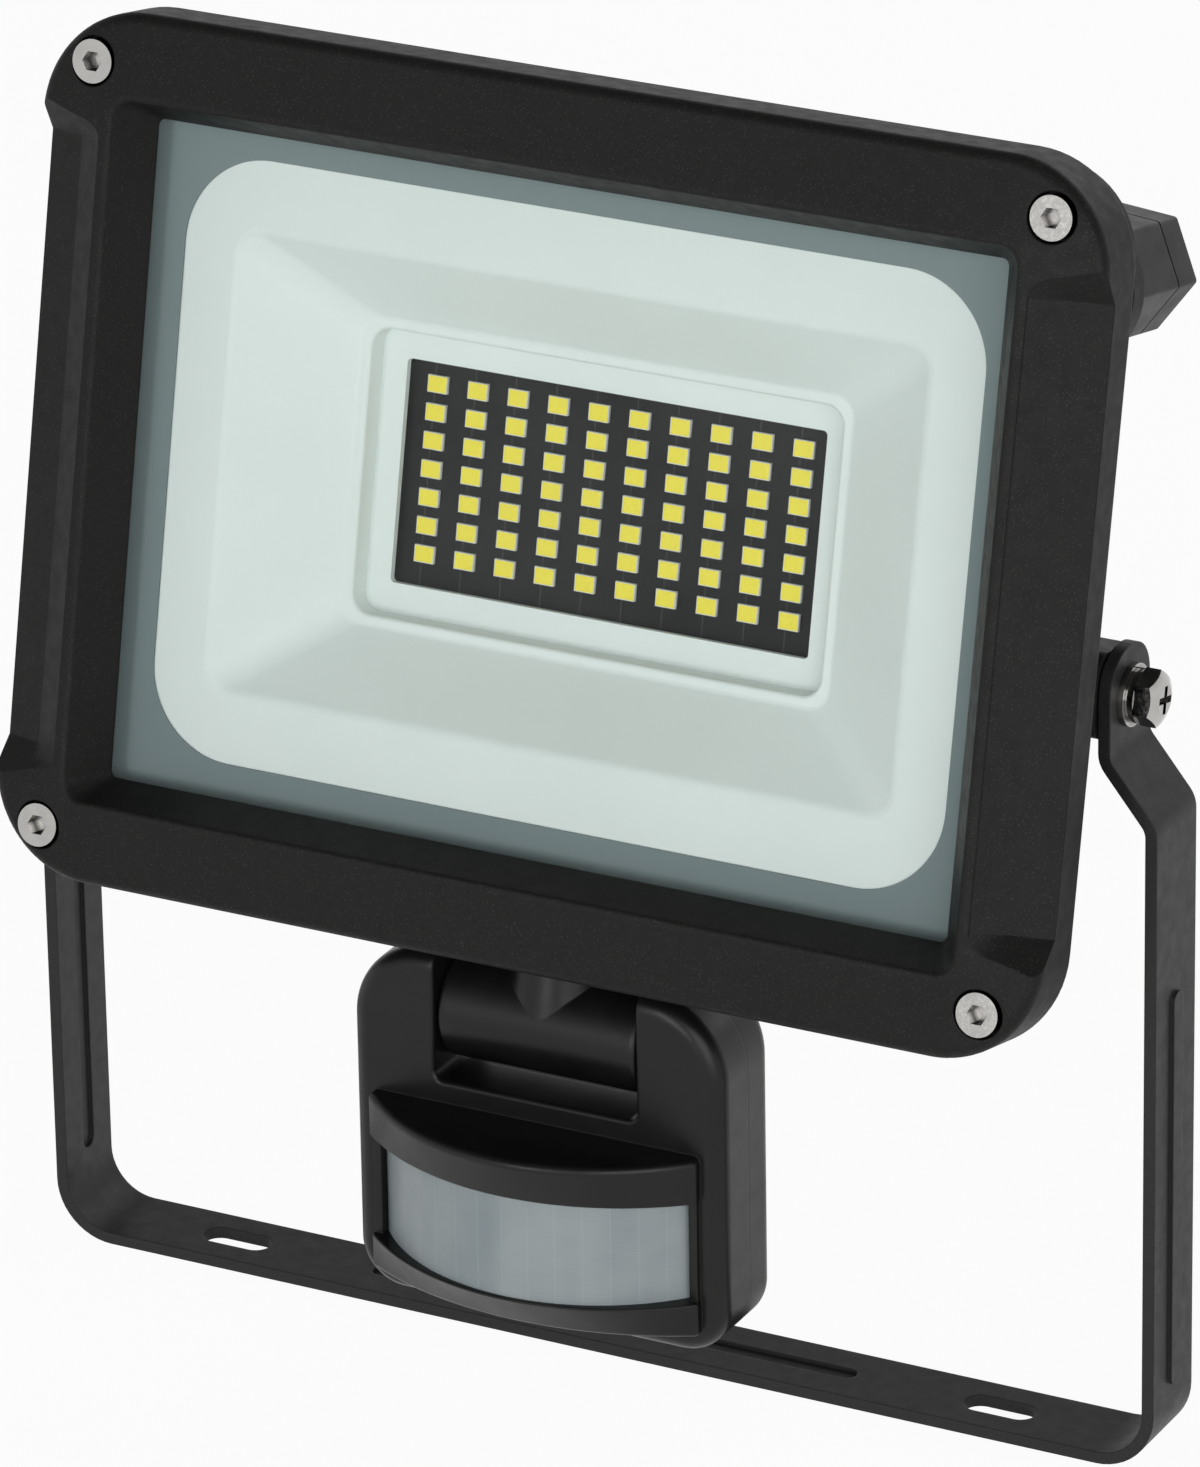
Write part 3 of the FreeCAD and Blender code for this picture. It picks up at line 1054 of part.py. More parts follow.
def cover_corners(owner):
    half = value("sensor_width / 2")
    top, bottom = value("sensor_top"), -value("sensor_bottom")
    soften(owner, "Fillet", "upper_corners", "cover_top_corner",
           lambda edge: along(edge, Y) and (lies(edge, x=half, z=top) or lies(edge, x=-half, z=top)))
    soften(owner, "Fillet", "lower_corners", "cover_bottom_corner",
           lambda edge: along(edge, Y) and (lies(edge, x=half, z=bottom) or lies(edge, x=-half, z=bottom)))


def recess(s):
    rounded(s, "0", "(sensor_top - recess_drop) / 2 + recess_corner", "recess_width",
            "sensor_top + recess_drop + 2 * recess_corner", "recess_corner")


def hollow(s):
    """The space inside a cover: one room under the hinge recess and one in each cheek."""
    inside = "sensor_width / 2 - cover_wall"
    rounded(s, "0", "(-sensor_bottom - recess_drop) / 2", "sensor_width - 2 * cover_wall",
            "sensor_bottom - recess_drop - 2 * cover_wall", "cover_bottom_corner - cover_wall")
    for sign in (1, -1):
        rounded(s, "%d * (recess_width / 2 + sensor_width / 2) / 2" % sign, "(sensor_top - cover_top_corner - recess_drop) / 2 + 1.2",
                "(sensor_width - recess_width) / 2 - 2 * cover_wall", "sensor_top - cover_top_corner + recess_drop + 5", "1.2")


def posts(s):
    for sign in (1, -1):
        circle(s, "%d * post_x" % sign, "post_upper", "post_radius")
        circle(s, "%d * post_x" % sign, "-post_lower", "post_radius")


def post_holes(radius):
    def draw(s):
        for sign in (1, -1):
            circle(s, "%d * post_x" % sign, "post_upper", radius)
            circle(s, "%d * post_x" % sign, "-post_lower", radius)
    return draw


def sensor_front():
    """Front cover of the sensor: hinge recess between two cheeks, crescent hood, lens opening and chin."""
    cover = body("sensor_front")
    extrude(cover, "Pad", "shell", "XZ_Plane", "0", "cover_front", outline)
    cover_corners(cover)
    front = -value("cover_front")
    soften(cover, "Fillet", "front_edge", "cover_edge", lambda edge: lies(edge, y=front))

    def brow(reach):
        return lambda s: bulge(s, "hood_chord", reach + " - hood_stand", "-cover_front - hood_stand", "hood_stand + hood_root")

    loft(cover, "AdditiveLoft", "hood", "XY_Plane", [("-lens_top", brow("hood_lip")), ("-hood_top", brow("hood_reach"))])
    loft(cover, "AdditiveLoft", "chin", "XY_Plane", [("-chin_bottom", brow("chin_lip")), ("-lens_bottom", brow("chin_reach"))])
    side, line = value("hood_chord / 2"), value("-cover_front - hood_stand")
    soften(cover, "Fillet", "hood_ends", "hood_end",
           lambda edge: lies(edge, x=side, y=line) or lies(edge, x=-side, y=line))

    def lips(*names):
        levels = [-value(name) for name in names]
        return lambda edge: any(lies(edge, z=level) for level in levels) and edge.BoundBox.YMin < line + 0.02

    soften(cover, "Fillet", "hood_brow", "hood_edge", lips("hood_top"))
    soften(cover, "Fillet", "lens_lips", "lens_edge", lips("lens_top", "lens_bottom"))
    soften(cover, "Fillet", "chin_underside", "chin_edge", lips("chin_bottom"))
    extrude(cover, "Pad", "lens_rims", "XY_Plane", "-lens_bottom - lens_edge", "-lens_top + lens_edge", lambda s: rectangle(
        s, "-hood_chord / 2 + lens_edge", "hood_chord / 2 - lens_edge", "-cover_front - hood_stand + hood_end", "-cover_front + hood_root"))
    extrude(cover, "Pocket", "hinge_recess", "XZ_Plane", "-1", "cover_front + 1", recess)
    reach = value("recess_width / 2")
    soften(cover, "Fillet", "recess_rim", "recess_edge",
           lambda edge: lies(edge, y=front) and abs(edge.CenterOfMass.x) < reach + 0.1 and edge.CenterOfMass.z > -value("hood_top"))
    extrude(cover, "Pocket", "inside", "XZ_Plane", "-1", "cover_front - cover_wall", hollow)
    extrude(cover, "Pocket", "lens_opening", "XY_Plane", "-lens_bottom", "-lens_top", lambda s: rectangle(
        s, "-lens_chord / 2 - lens_gap", "lens_chord / 2 + lens_gap", "-cover_front - 2 * lens_bulge", "-cover_front + 3 * cover_wall"))
    extrude(cover, "Pocket", "lens_seats", "XY_Plane", "-lens_bottom - lens_seat", "-lens_top + lens_seat", lambda s: bulge(
        s, "lens_chord + 2 * lens_gap", "lens_bulge + lens_gap", "-cover_front + lens_foot"))
    extrude(cover, "Pad", "screw_posts", "XZ_Plane", "0", "cover_front - 1", posts)
    extrude(cover, "Pocket", "screw_holes", "XZ_Plane", "-1", "cover_front - 2 * cover_wall", post_holes("tapping_radius + 0.02"))
    extrude(cover, "Pocket", "pin_holes", "YZ_Plane", "-recess_width / 2 - cover_wall - 1", "recess_width / 2 + cover_wall + 1",
            lambda s: circle(s, "0", "0", "pin_radius + 0.02"))
    on_sensor(cover, "sensor_front")


def sensor_back():
    """Back cover of the sensor, with the seats of its four screws and the holes of the three knobs."""
    cover = body("sensor_back")
    extrude(cover, "Pad", "shell", "XZ_Plane", "-cover_back", "0", outline)
    cover_corners(cover)
    rear = value("cover_back")
    soften(cover, "Fillet", "back_edge", "cover_edge", lambda edge: lies(edge, y=rear))
    extrude(cover, "Pocket", "hinge_recess", "XZ_Plane", "-cover_back - 1", "1", recess)
    extrude(cover, "Pocket", "inside", "XZ_Plane", "-cover_back + cover_wall", "1", hollow)
    extrude(cover, "Pad", "screw_posts", "XZ_Plane", "-cover_back + 1", "0", posts)
    extrude(cover, "Pocket", "screw_holes", "XZ_Plane", "-cover_back - 1", "1", post_holes("tapping_radius + 0.15"))
    extrude(cover, "Pocket", "screw_seats", "XZ_Plane", "-cover_back - 1", "-cover_back + tapping_seat", post_holes("tapping_head + 0.15"))
    extrude(cover, "Pocket", "pin_holes", "YZ_Plane", "-recess_width / 2 - cover_wall - 1", "recess_width / 2 + cover_wall + 1",
            lambda s: circle(s, "0", "0", "pin_radius + 0.02"))
    extrude(cover, "Pocket", "knob_holes", "XY_Plane", "-sensor_bottom - 1", "-sensor_bottom + cover_wall + 0.3", lambda s: [
        circle(s, "%d * knob_pitch" % n, "knob_place", "knob_radius + fit_gap") for n in (-1, 0, 1)])
    on_sensor(cover, "sensor_back")


def sensor_lens():
    """Curved lens sheet between the hood and the chin."""
    sheet_body = body("sensor_lens")
    low, high = "-lens_bottom - lens_seat + lens_gap", "-lens_top + lens_seat - lens_gap"
    extrude(sheet_body, "Pad", "outside", "XY_Plane", low, high, lambda s: bulge(s, "lens_chord", "lens_bulge", "-cover_front + lens_foot"))
    extrude(sheet_body, "Pocket", "inside", "XY_Plane", "-lens_bottom - 5", "-lens_top + 5", lambda s: bulge(
        s, "lens_chord - 4 * lens_wall", "lens_bulge - lens_wall", "-cover_front + lens_foot"))
    on_sensor(sheet_body, "sensor_lens")


def sensor_inside():
    """Circuit board with the motion detector, light cell, relay and three adjusters, the hinge pin and the screws."""
    back = "circuit_place"
    plate = block("circuit_plate", "circuit_width", "circuit_thickness", "circuit_bottom - circuit_top", "0", back, "-circuit_bottom")
    on_sensor(group("sensor_board_piece", [plate]), "sensor_board")
    middle = "-(lens_top + lens_bottom) / 2"
    can = rod("pyro_can", "pyro_radius - 0.5", "pyro_length", "0", back + " - pyro_length", middle, "Y")
    brim = rod("pyro_brim", "pyro_radius", "0.8", "0", back + " - 0.8", middle, "Y")
    window = block("pyro_window", "4", "0.6", "3", "0", back + " - pyro_length - 0.3", middle + " - 1.5")
    on_sensor(cut("pyro_cut", fuse("pyro_blank", [can, brim]), window), "motion_detector")
    cell = rod("cell_disc", "2.5", "2", "14", back + " - 2", middle, "Y")
    on_sensor(group("light_cell_piece", [cell]), "light_cell")
    relay = block("relay_case", "12", "7", "10", "-16", back + " - 7", middle + " - 4")
    on_sensor(group("relay_piece", [relay]), "relay")
    pots = [block("pot_%d" % (n + 1), "7", "5.4", "3.8", "%d * knob_pitch" % n, "knob_place - 2.9", "-circuit_bottom - 3.8") for n in (-1, 0, 1)]
    on_sensor(group("pot_group", pots), "adjusters")
    for n, label in ((-1, "time_knob"), (0, "light_knob"), (1, "range_knob")):
        height = "sensor_bottom + knob_proud - circuit_bottom - 3.8 - fit_gap"
        disc = rod(label + "_disc", "knob_radius", height, "%d * knob_pitch" % n, "knob_place", "-sensor_bottom - knob_proud", "Z")
        groove = block(label + "_groove", "0.9", "2 * knob_radius - 1.2", "1.6", "%d * knob_pitch" % n,
                       "knob_place - knob_radius + 0.6", "-sensor_bottom - knob_proud - 0.8")
        on_sensor(cut(label + "_cut", disc, groove), label)
    pin = rod("pin", "pin_radius", "recess_width + 2 * cover_wall + 2", "-recess_width / 2 - cover_wall - 1", "0", "0", "X")
    on_sensor(group("hinge_pin_piece", [pin]), "hinge_pin")
    screws = []
    for number, (x, z) in enumerate([("post_x", "post_upper"), ("-post_x", "post_upper"), ("post_x", "-post_lower"), ("-post_x", "-post_lower")]):
        tag = "sensor_screw_%d_" % number
        start = "cover_back - tapping_seat"
        head = rod(tag + "head", "tapping_head", "1.6", x, start, z, "Y")
        shank = rod(tag + "shank", "tapping_radius", start + " + cover_front - 3 * cover_wall + 0.5", x, "-cover_front + 3 * cover_wall", z, "Y")
        bar = block(tag + "bar", "3", "1.6", "0.8", x, start + " + 0.8", z + " - 0.4")
        stem = block(tag + "stem", "0.8", "1.6", "3", x, start + " + 0.8", z + " - 1.5")
        screws.append(cut(tag + "cut", fuse(tag + "blank", [head, shank]), fuse(tag + "cross", [bar, stem])))
    on_sensor(group("sensor_screw_group", screws), "sensor_screws")


u_bracket()
front_frame()
front_glass()
glass_print()
glass_seal()
reflector()
led_board()
diodes()
rear_housing()
driver()
fasteners()
pivots()
gland()
neck()
sensor_front()
sensor_back()
sensor_lens()
sensor_inside()
doc.recompute()

# Every object must have built, and every piece must be sound, before a file is written.
for item in doc.Objects:
    if "Invalid" in item.State or "Error" in item.State:
        raise ValueError("%s did not build: %s" % (item.Label, item.State))
for piece in pieces:
    if piece.Shape.isNull() or not piece.Shape.isValid() or not piece.Shape.Solids:
        raise ValueError("%s is not a sound solid" % piece.Label)

os.makedirs("parts", exist_ok=True)
for piece in pieces:
    piece.Shape.exportStep("parts/%s.step" % piece.Label)
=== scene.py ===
import json
import math

import bpy
from mathutils import Matrix, Vector


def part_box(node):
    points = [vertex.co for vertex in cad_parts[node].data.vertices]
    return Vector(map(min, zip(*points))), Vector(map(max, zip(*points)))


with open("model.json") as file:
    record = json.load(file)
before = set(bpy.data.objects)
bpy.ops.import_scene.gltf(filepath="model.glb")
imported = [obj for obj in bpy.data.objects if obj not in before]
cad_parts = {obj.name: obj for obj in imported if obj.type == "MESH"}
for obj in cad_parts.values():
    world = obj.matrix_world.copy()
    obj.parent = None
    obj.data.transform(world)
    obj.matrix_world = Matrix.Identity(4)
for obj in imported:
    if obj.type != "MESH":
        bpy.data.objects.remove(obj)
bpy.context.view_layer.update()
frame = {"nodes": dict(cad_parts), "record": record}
nodes = frame["nodes"]

MM = 0.001
WHITE = (1.0, 1.0, 1.0)

# Sizes of the part that its looks follow, in millimetres unless they are multiplied by MM
HEAD_TILT = math.radians(12.2)
PIVOT_HEIGHT = 129.3
HEAD_RISE = 14.1
GLASS_HALF_HEIGHT = 53.0
LENS_RADIUS = 35.76
LENS_FACETS = 8.0
DIODE_PITCH = 7.16
TRACK_SHIFT = 0.75
EDGE = 0.4 * MM
PRINT_LIFT = 0.02 * MM

# Surface texture
COAT_GRAIN = 0.28 * MM
COAT_DEPTH = 0.035 * MM
FLECK_THRESHOLD = 0.80
MOULD_GRAIN = 0.35 * MM
MOULD_DEPTH = 0.02 * MM
GROOVE_PITCH = 0.22 * MM
GLASS_INDEX = 1.5
GLASS_REFLECTION = 0.25
PATCH_LOW, PATCH_HIGH = 0.3, 0.7
DULLER, SHINIER = 0.06, 0.05
BEVEL_SAMPLES = 4
HOLLOW_SHADE_SAMPLES = 6


# Shader building

class Look:
    """A material whose nodes are added one by one; an input is a number, a colour or another node's output."""

    def __init__(self, name):
        self.made = bpy.data.materials.new(name)
        self.made.use_nodes = True
        self.tree = self.made.node_tree
        self.tree.nodes.clear()
        self.output = self.tree.nodes.new("ShaderNodeOutputMaterial")

    def add(self, kind, inputs=None, **settings):
        node = self.tree.nodes.new("ShaderNode" + kind)
        for name, setting in settings.items():
            setattr(node, name, setting)
        for name, given in (inputs or {}).items():
            socket = node.inputs[name]
            if isinstance(given, bpy.types.NodeSocket):
                self.tree.links.new(given, socket)
            elif isinstance(given, tuple) and socket.type == "RGBA":
                socket.default_value = (*given[:3], 1.0)
            else:
                socket.default_value = given
        return node

    def surface(self, shader):
        self.tree.links.new(shader, self.output.inputs["Surface"])
        return self.made

    def place(self):
        """Where a point of the piece is, in metres of the row frame at rest."""
        return self.add("TexCoord").outputs["Object"]

    def head_place(self):
        """Where a point is, in millimetres, in the upright frame of the lamp head around its pivot."""
        back = Matrix.Rotation(HEAD_TILT, 3, "X") @ Vector((0, 0, -PIVOT_HEIGHT))
        mapped = self.add("Mapping", {
            "Vector": self.place(),
            "Location": tuple(back),
            "Rotation": (HEAD_TILT, 0, 0),
            "Scale": (1 / MM, 1 / MM, 1 / MM),
        })
        return mapped.outputs["Vector"]

    def part(self, vector, axis):
        return self.add("SeparateXYZ", {"Vector": vector}).outputs[axis]

    def noise(self, vector, size, detail=2.0, roughness=0.5):
        """Noise whose grains are about the given size in metres (or in the vector's own unit)."""
        inputs = {"Vector": vector, "Scale": 1 / size, "Detail": detail, "Roughness": roughness}
        return self.add("TexNoise", inputs).outputs["Fac"]

    def patches(self, vector, size, detail, roughness=0.5, to_low=0.0, to_high=1.0):
        """The middle of a noise's range, spread from one value to another."""
        grains = self.noise(vector, size, detail, roughness)
        return self.spread(grains, PATCH_LOW, PATCH_HIGH, to_low, to_high)

    def cells(self, vector, size, output="Distance"):
        return self.add("TexVoronoi", {"Vector": vector, "Scale": 1 / size}).outputs[output]

    def maths(self, operation, first, second=0.0):
        return self.add("Math", {0: first, 1: second}, operation=operation).outputs[0]

    def spread(self, number, low, high, to_low=0.0, to_high=1.0):
        inputs = {"Value": number, "From Min": low, "From Max": high, "To Min": to_low, "To Max": to_high}
        return self.add("MapRange", inputs).outputs["Result"]

    def mix(self, share, first, second):
        return self.add("Mix", {0: share, 6: first, 7: second}, data_type="RGBA").outputs[2]

    def blend(self, share, first, second):
        """Two shaders, the second with the given share."""
        return self.add("MixShader", {0: share, 1: first, 2: second}).outputs[0]

    def bump(self, height, strength, distance, normal=None):
        inputs = {"Height": height, "Strength": strength, "Distance": distance}
        if normal is not None:
            inputs["Normal"] = normal
        return self.add("Bump", inputs).outputs["Normal"]

    def rounded(self, radius):
        """The surface's direction with its sharp edges rounded off."""
        return self.add("Bevel", {"Radius": radius}, samples=BEVEL_SAMPLES).outputs["Normal"]

    def hollow_shade(self, distance):
        """Ambient occlusion used to paint shade: one on open faces, less in narrow hollows."""
        return self.add("AmbientOcclusion", {"Distance": distance}, samples=HOLLOW_SHADE_SAMPLES).outputs["AO"]

    def principled(self, colour, roughness, **more):
        inputs = {"Base Color": colour, "Roughness": roughness}
        inputs.update({name.replace("_", " "): given for name, given in more.items()})
        return self.add("BsdfPrincipled", inputs).outputs["BSDF"]


def powder_coat(name, dark, light, fleck, roughness, sheen):
    """Black powder coat: fine orange peel, slow changes of tone, and faint scattered warm flecks."""
    look = Look(name)
    place = look.place()
    own = look.part(look.cells(place, COAT_GRAIN, "Color"), "X")
    near = look.cells(place, COAT_GRAIN)
    chosen = look.maths("GREATER_THAN", own, FLECK_THRESHOLD)
    spot = look.maths("MULTIPLY", chosen, look.spread(near, 0.10, 0.40, 1.0, 0.0))
    tone = look.mix(look.noise(place, 18 * MM, 3.0), dark, light)
    fine = look.mix(look.spread(look.noise(place, 0.6 * MM, 3.0, 0.7), 0.35, 0.7), tone, light)
    colour = look.mix(spot, fine, fleck)
    shine = look.patches(place, 2.5 * MM, 4.0, to_low=roughness - SHINIER, to_high=roughness + DULLER)
    peel = look.bump(look.noise(place, 0.7 * MM, 4.0, 0.65), 0.5, COAT_DEPTH, look.rounded(EDGE))
    return look.surface(look.principled(colour, shine, Normal=peel, Specular_IOR_Level=sheen))


def moulded(name, dark, light, roughness, **more):
    """Moulded plastic or rubber: fine spark-eroded texture and slight changes of tone and shine."""
    look = Look(name)
    place = look.place()
    colour = look.mix(look.patches(place, 12 * MM, 4.0), dark, light)
    shine = look.patches(place, 5 * MM, 5.0, 0.6, roughness - SHINIER, roughness + DULLER)
    texture = look.bump(look.noise(place, MOULD_GRAIN, 3.0, 0.6), 0.5, MOULD_DEPTH, look.rounded(EDGE))
    return look.surface(look.principled(colour, shine, Normal=texture, **more))


def steel(name, colour, roughness):
    """Stainless steel: bright, with fine turning marks, a slight haze and painted shade darkening its hollows.
    """
    look = Look(name)
    place = look.place()
    worn_share = look.spread(look.noise(place, 3 * MM, 4.0, 0.6), 0.35, 0.75)
    worn = look.mix(worn_share, colour, tuple(c * 0.86 for c in colour))
    shine = look.patches(place, 0.6 * MM, 4.0, to_low=roughness - 0.04, to_high=roughness + DULLER)
    marks = look.bump(look.noise(place, 0.25 * MM, 2.0), 0.2, 0.008 * MM)
    # Painted shade: hollows such as the hex sockets are darkened in the colour by ambient occlusion.
    unshaded_share = look.spread(look.hollow_shade(1.6 * MM), 0.25, 0.85)
    shaded = look.mix(unshaded_share, tuple(c * 0.12 for c in colour), worn)
    return look.surface(look.principled(shaded, shine, Metallic=1.0, Normal=marks))


def clear_glass():
    """Clear coated glass: see-through, with a weak Fresnel reflection and a faint film of dust."""
    look = Look("clear_glass")
    place = look.place()
    haze = look.spread(look.noise(place, 30 * MM, 4.0), 0.4, 0.8, 0.0, 0.012)
    through = look.add("BsdfTransparent", {"Color": (0.965, 0.985, 0.98)}).outputs[0]
    film = look.add("BsdfDiffuse", {"Color": (0.75, 0.78, 0.8)}).outputs[0]
    veiled = look.blend(haze, through, film)
    wave = look.bump(look.noise(place, 90 * MM, 1.0), 0.15, 0.05 * MM)
    gloss = look.add("BsdfGlossy", {"Color": WHITE, "Roughness": 0.02, "Normal": wave}).outputs[0]
    fresnel = look.add("Fresnel", {"IOR": GLASS_INDEX}).outputs[0]
    return look.surface(look.blend(look.maths("MULTIPLY", fresnel, GLASS_REFLECTION), veiled, gloss))


def printed_border():
    """Grey ceramic ink behind the glass, with painted light making it a little lighter towards the top, and a
    fine screen-print grain.
    """
    look = Look("printed_border")
    where = look.head_place()
    # Painted light: the ink's colour grows lighter towards the top of the glass.
    height = look.spread(look.part(where, "Z"), HEAD_RISE - GLASS_HALF_HEIGHT, HEAD_RISE + GLASS_HALF_HEIGHT)
    colour = look.mix(height, (0.170, 0.216, 0.222), (0.200, 0.252, 0.256))
    grain = look.mix(look.patches(where, 0.4, 3.0, to_high=0.10), colour, (0.28, 0.31, 0.315))
    return look.surface(look.principled(grain, 0.6, Specular_IOR_Level=0.2))


def reflector_white():
    """White moulded plastic with faint flow marks."""
    look = Look("reflector_white")
    where = look.head_place()
    flow = look.mix(look.patches(where, 25.0, 3.0), (0.775, 0.81, 0.795), (0.80, 0.832, 0.818))
    shine = look.patches(where, 4.0, 4.0, to_low=0.42, to_high=0.52)
    texture = look.bump(look.noise(where, 0.5, 3.0), 0.3, 0.01 * MM)
    return look.surface(look.principled(flow, shine, Normal=texture, Specular_IOR_Level=0.35))


def light_board():
    """Black solder mask with the thin upright gap between two copper tracks at each column of diodes."""
    look = Look("light_board")
    where = look.head_place()
    across = look.maths("DIVIDE", look.maths("ADD", look.part(where, "X"), TRACK_SHIFT), DIODE_PITCH)
    off_track = look.maths("ABSOLUTE", look.maths("SUBTRACT", look.maths("FRACT", across), 0.5))
    gap = look.spread(off_track, 0.008, 0.018, 1.0, 0.0)
    ground = look.mix(look.patches(where, 6.0, 4.0), (0.004, 0.004, 0.0038), (0.008, 0.008, 0.0075))
    colour = look.mix(look.maths("MULTIPLY", gap, 0.8), ground, (0.07, 0.07, 0.066))
    relief = look.bump(gap, 0.4, 0.03 * MM)
    return look.surface(look.principled(colour, 0.42, Normal=relief, Specular_IOR_Level=0.1))


def phosphor():
    """Yellow phosphor gel with fine grains."""
    look = Look("phosphor")
    where = look.head_place()
    colour = look.mix(look.patches(where, 0.5, 4.0), (0.90, 0.73, 0.045), (0.97, 0.82, 0.075))
    grain = look.bump(look.noise(where, 0.12, 2.0), 0.3, 0.02 * MM)
    return look.surface(look.principled(colour, 0.35, Normal=grain, Specular_IOR_Level=0.3))


def lens_sheet():
    """Milky lens plastic: upright facets with hairline borders, each lighter or darker, and fine grooves."""
    look = Look("lens_sheet")
    place = look.place()
    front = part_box("sensor_lens")[0][1]
    across = look.part(place, "X")
    ahead = look.maths("ADD", look.part(place, "Y"), -(front + LENS_RADIUS * MM))
    angle = look.maths("ARCTAN2", across, look.maths("MULTIPLY", ahead, -1.0))
    facets = look.maths("MULTIPLY", angle, LENS_FACETS)
    within = look.maths("FRACT", facets)
    edge = look.spread(look.maths("ABSOLUTE", look.maths("SUBTRACT", within, 0.5)), 0.465, 0.49)

    number = look.maths("FLOOR", facets)
    own = look.add("TexWhiteNoise", {"W": number}, noise_dimensions="1D").outputs["Value"]
    band_inputs = {"W": facets, "Scale": 0.45, "Detail": 1.0}
    band = look.add("TexNoise", band_inputs, noise_dimensions="1D").outputs["Fac"]
    cloud = look.spread(look.maths("ADD", look.noise(place, 11 * MM, 2.0), band), 0.75, 1.25)
    base = look.mix(cloud, (0.262, 0.308, 0.328), (0.350, 0.388, 0.398))
    toned = look.mix(look.maths("MULTIPLY", own, 0.18), base, (0.40, 0.44, 0.45))
    colour = look.mix(look.maths("MULTIPLY", edge, 0.16), toned, (0.52, 0.56, 0.57))

    height = look.part(place, "Z")
    middle = look.maths("MULTIPLY", look.maths("SUBTRACT", within, 0.5), LENS_RADIUS * MM / LENS_FACETS)
    squares = look.maths("ADD", look.maths("MULTIPLY", middle, middle), look.maths("MULTIPLY", height, height))
    groove = look.maths("PINGPONG", look.maths("SQRT", squares), GROOVE_PITCH)
    grooves = look.bump(groove, 0.25, 0.5)

    body = look.principled(colour, 0.33, Normal=grooves, Specular_IOR_Level=0.35)
    glow = look.add("BsdfTranslucent", {"Color": colour}).outputs[0]
    return look.surface(look.blend(0.15, body, glow))


MATERIALS = {
    "powder_coat": powder_coat(
        "powder_coat", (0.0065, 0.0065, 0.0062), (0.0105, 0.0105, 0.010), (0.050, 0.047, 0.042), 0.50, 0.15),
    "bracket_paint": powder_coat(
        "bracket_paint", (0.012, 0.012, 0.012), (0.018, 0.018, 0.018), (0.045, 0.044, 0.042), 0.46, 0.24),
    "glass": clear_glass(),
    "print": printed_border(),
    "silicone": moulded("silicone", (0.02, 0.02, 0.02), (0.035, 0.035, 0.035), 0.7),
    "reflector_white": reflector_white(),
    "board_black": light_board(),
    "led_white": moulded("led_white", (0.82, 0.80, 0.73), (0.88, 0.86, 0.80), 0.35),
    "phosphor": phosphor(),
    "circuit_green": moulded("circuit_green", (0.008, 0.09, 0.03), (0.014, 0.14, 0.05), 0.3),
    "parts_dark": moulded("parts_dark", (0.03, 0.03, 0.035), (0.06, 0.06, 0.07), 0.45),
    "terminal_white": moulded("terminal_white", (0.68, 0.68, 0.65), (0.75, 0.75, 0.73), 0.4),
    "steel": steel("steel", (0.47, 0.46, 0.445), 0.13),
    "gland_black": moulded(
        "gland_black", (0.009, 0.009, 0.009), (0.013, 0.013, 0.013), 0.42, Specular_IOR_Level=0.18),
    "sensor_black": moulded(
        "sensor_black", (0.0045, 0.0045, 0.0043), (0.0075, 0.0075, 0.0072), 0.33, Specular_IOR_Level=0.27),
    "lens": lens_sheet(),
    "knob_black": moulded(
        "knob_black", (0.015, 0.015, 0.015), (0.025, 0.025, 0.025), 0.45, Specular_IOR_Level=0.3),
}

# The print's front lies just inside the glass, so that no ray slips between the two.
seated = nodes["glass_print"].modifiers.new("seated", "DISPLACE")
seated.mid_level = 0.0
seated.strength = PRINT_LIFT

slot_of = {entry["node"]: entry["material_slot"] for entry in frame["record"]["subparts"]}
for name, shown in nodes.items():
    shown.data.materials.clear()
    shown.data.materials.append(MATERIALS[slot_of[name]])


# Camera, as the photo was taken: lengths in millimetres, places in the picture in its pixels

YAW, PITCH, ROLL = math.radians(27.93), math.radians(23.24), math.radians(-1.0)
DISTANCE = 1555.5
AIM_RIGHT, AIM_UP = -0.82, -16.77
FOCAL_PIXELS = 9923.6
LONG_SIDE = 1467.0
PICTURE_MIDDLE = (600.0, 733.5)
OPTICAL_CENTRE = (594.33, 702.22)
SENSOR = 36.0

back = Vector((math.sin(YAW) * math.cos(PITCH), -math.cos(YAW) * math.cos(PITCH), math.sin(PITCH)))
level_right = Vector((math.cos(YAW), math.sin(YAW), 0.0))
level_up = back.cross(level_right)
right = math.cos(ROLL) * level_right + math.sin(ROLL) * level_up
up = math.cos(ROLL) * level_up - math.sin(ROLL) * level_right
aim = Vector((0, 0, PIVOT_HEIGHT)) + right * AIM_RIGHT + up * AIM_UP

camera_data = bpy.data.cameras.new("camera")
camera_data.sensor_width = SENSOR
camera_data.lens = FOCAL_PIXELS * SENSOR / LONG_SIDE
camera_data.shift_x = (PICTURE_MIDDLE[0] - OPTICAL_CENTRE[0]) / LONG_SIDE
camera_data.shift_y = (OPTICAL_CENTRE[1] - PICTURE_MIDDLE[1]) / LONG_SIDE
camera_data.clip_start = 0.1
camera_data.clip_end = 50.0
camera = bpy.data.objects.new("camera", camera_data)
bpy.context.scene.collection.objects.link(camera)
turned = Matrix((right, up, back)).transposed().to_4x4()
camera.matrix_world = Matrix.Translation((aim + back * DISTANCE) * MM) @ turned
bpy.context.scene.camera = camera


# Light: metres and watts

LIT_POINT = (0.0, 0.0, 0.11)
SKY_LOW, SKY_HIGH = 0.05, 0.70
SKY_BRIGHT, SKY_DIM = 1.0, 0.12


def softbox(name, place, width, height, power, colour=WHITE):
    light = bpy.data.lights.new(name, "AREA")
    light.shape = "RECTANGLE"
    light.size, light.size_y = width, height
    light.energy = power
    light.color = colour
    box = bpy.data.objects.new(name, light)
    bpy.context.scene.collection.objects.link(box)
    box.location = place
    box.rotation_euler = (Vector(LIT_POINT) - Vector(place)).to_track_quat("-Z", "Y").to_euler()


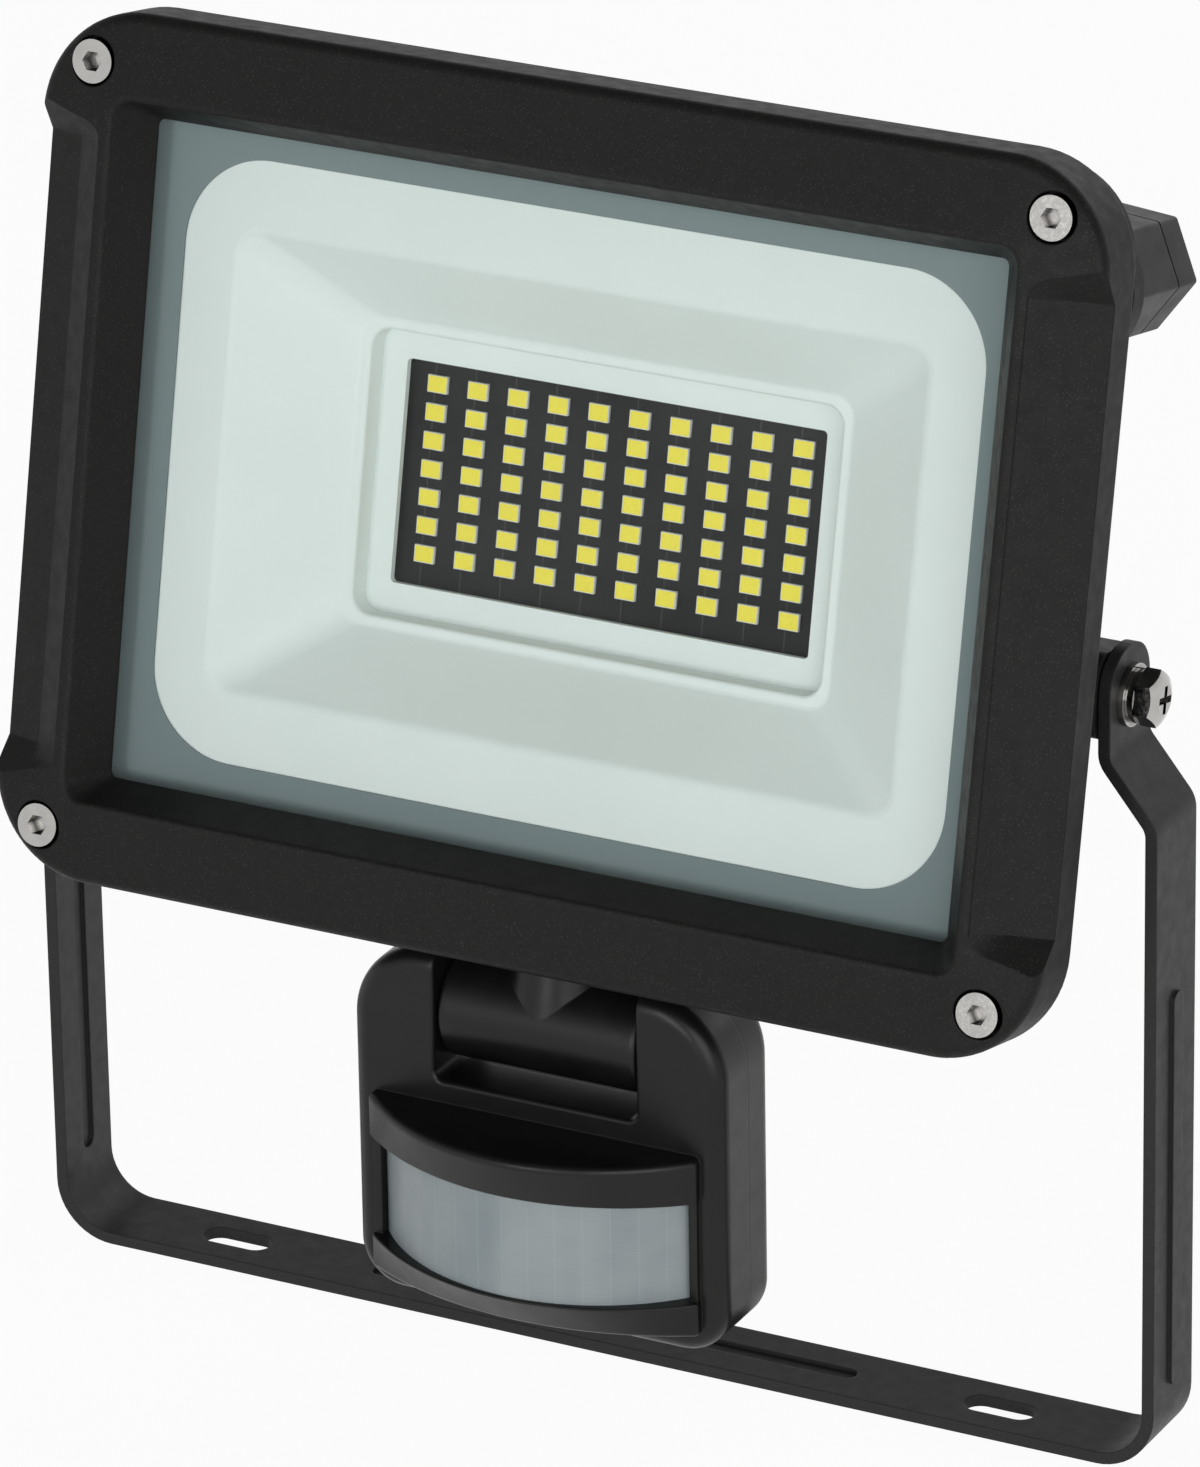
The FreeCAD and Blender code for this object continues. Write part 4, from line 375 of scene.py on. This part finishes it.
softbox("key", (1.05, -1.35, 0.55), 1.2, 1.2, 12.5)
softbox("fill", (-0.25, -1.7, 0.36), 0.4, 0.6, 6.0)
softbox("rear", (0.4, 1.6, 1.0), 1.6, 1.0, 6.0, (0.98, 0.98, 1.0))

# The sky is bright near the horizon and dim overhead.
world = bpy.data.worlds.new("studio")
world.use_nodes = True
bpy.context.scene.world = world
sky = world.node_tree
sky.nodes.clear()
sky_out = sky.nodes.new("ShaderNodeOutputWorld")
direction = sky.nodes.new("ShaderNodeTexCoord")
upward = sky.nodes.new("ShaderNodeSeparateXYZ")
sky.links.new(direction.outputs["Generated"], upward.inputs[0])
rise = sky.nodes.new("ShaderNodeMapRange")
sky.links.new(upward.outputs["Z"], rise.inputs["Value"])
rise.inputs["From Min"].default_value = SKY_LOW
rise.inputs["From Max"].default_value = SKY_HIGH
rise.inputs["To Min"].default_value = SKY_BRIGHT
rise.inputs["To Max"].default_value = SKY_DIM
ambient = sky.nodes.new("ShaderNodeBackground")
ambient.inputs["Color"].default_value = (*WHITE, 1.0)
sky.links.new(rise.outputs["Result"], ambient.inputs["Strength"])
sky.links.new(ambient.outputs[0], sky_out.inputs["Surface"])


# Floor

FLOOR_REACH = 12.0
FLOOR_DROP = 0.05 * MM
FLOOR_WHITE = 0.95


def pale_floor():
    """White paper: seen, mirrored or through glass it is nearly plain white, with a little shading left."""
    look = Look("pale_floor")
    paper = look.mix(look.patches(look.place(), 0.02, 3.0), (0.86, 0.86, 0.86), (0.88, 0.88, 0.88))
    matt = look.add("BsdfDiffuse", {"Color": paper}).outputs[0]
    white = look.add("Emission", {"Color": WHITE, "Strength": 1.0}).outputs[0]
    ray = look.add("LightPath")
    seen = look.maths("MAXIMUM", ray.outputs["Is Camera Ray"], ray.outputs["Is Glossy Ray"])
    any_view = look.maths("MAXIMUM", seen, ray.outputs["Is Transmission Ray"])
    return look.surface(look.blend(look.maths("MULTIPLY", any_view, FLOOR_WHITE), matt, white))


floor_mesh = bpy.data.meshes.new("floor")
corners = [(-FLOOR_REACH, -FLOOR_REACH, 0), (FLOOR_REACH, -FLOOR_REACH, 0),
           (FLOOR_REACH, FLOOR_REACH, 0), (-FLOOR_REACH, FLOOR_REACH, 0)]
floor_mesh.from_pydata(corners, [], [(0, 1, 2, 3)])
floor = bpy.data.objects.new("floor", floor_mesh)
bpy.context.scene.collection.objects.link(floor)
floor.location.z = -FLOOR_DROP
floor_mesh.materials.append(pale_floor())

scene = bpy.context.scene
scene.view_settings.view_transform = "Standard"
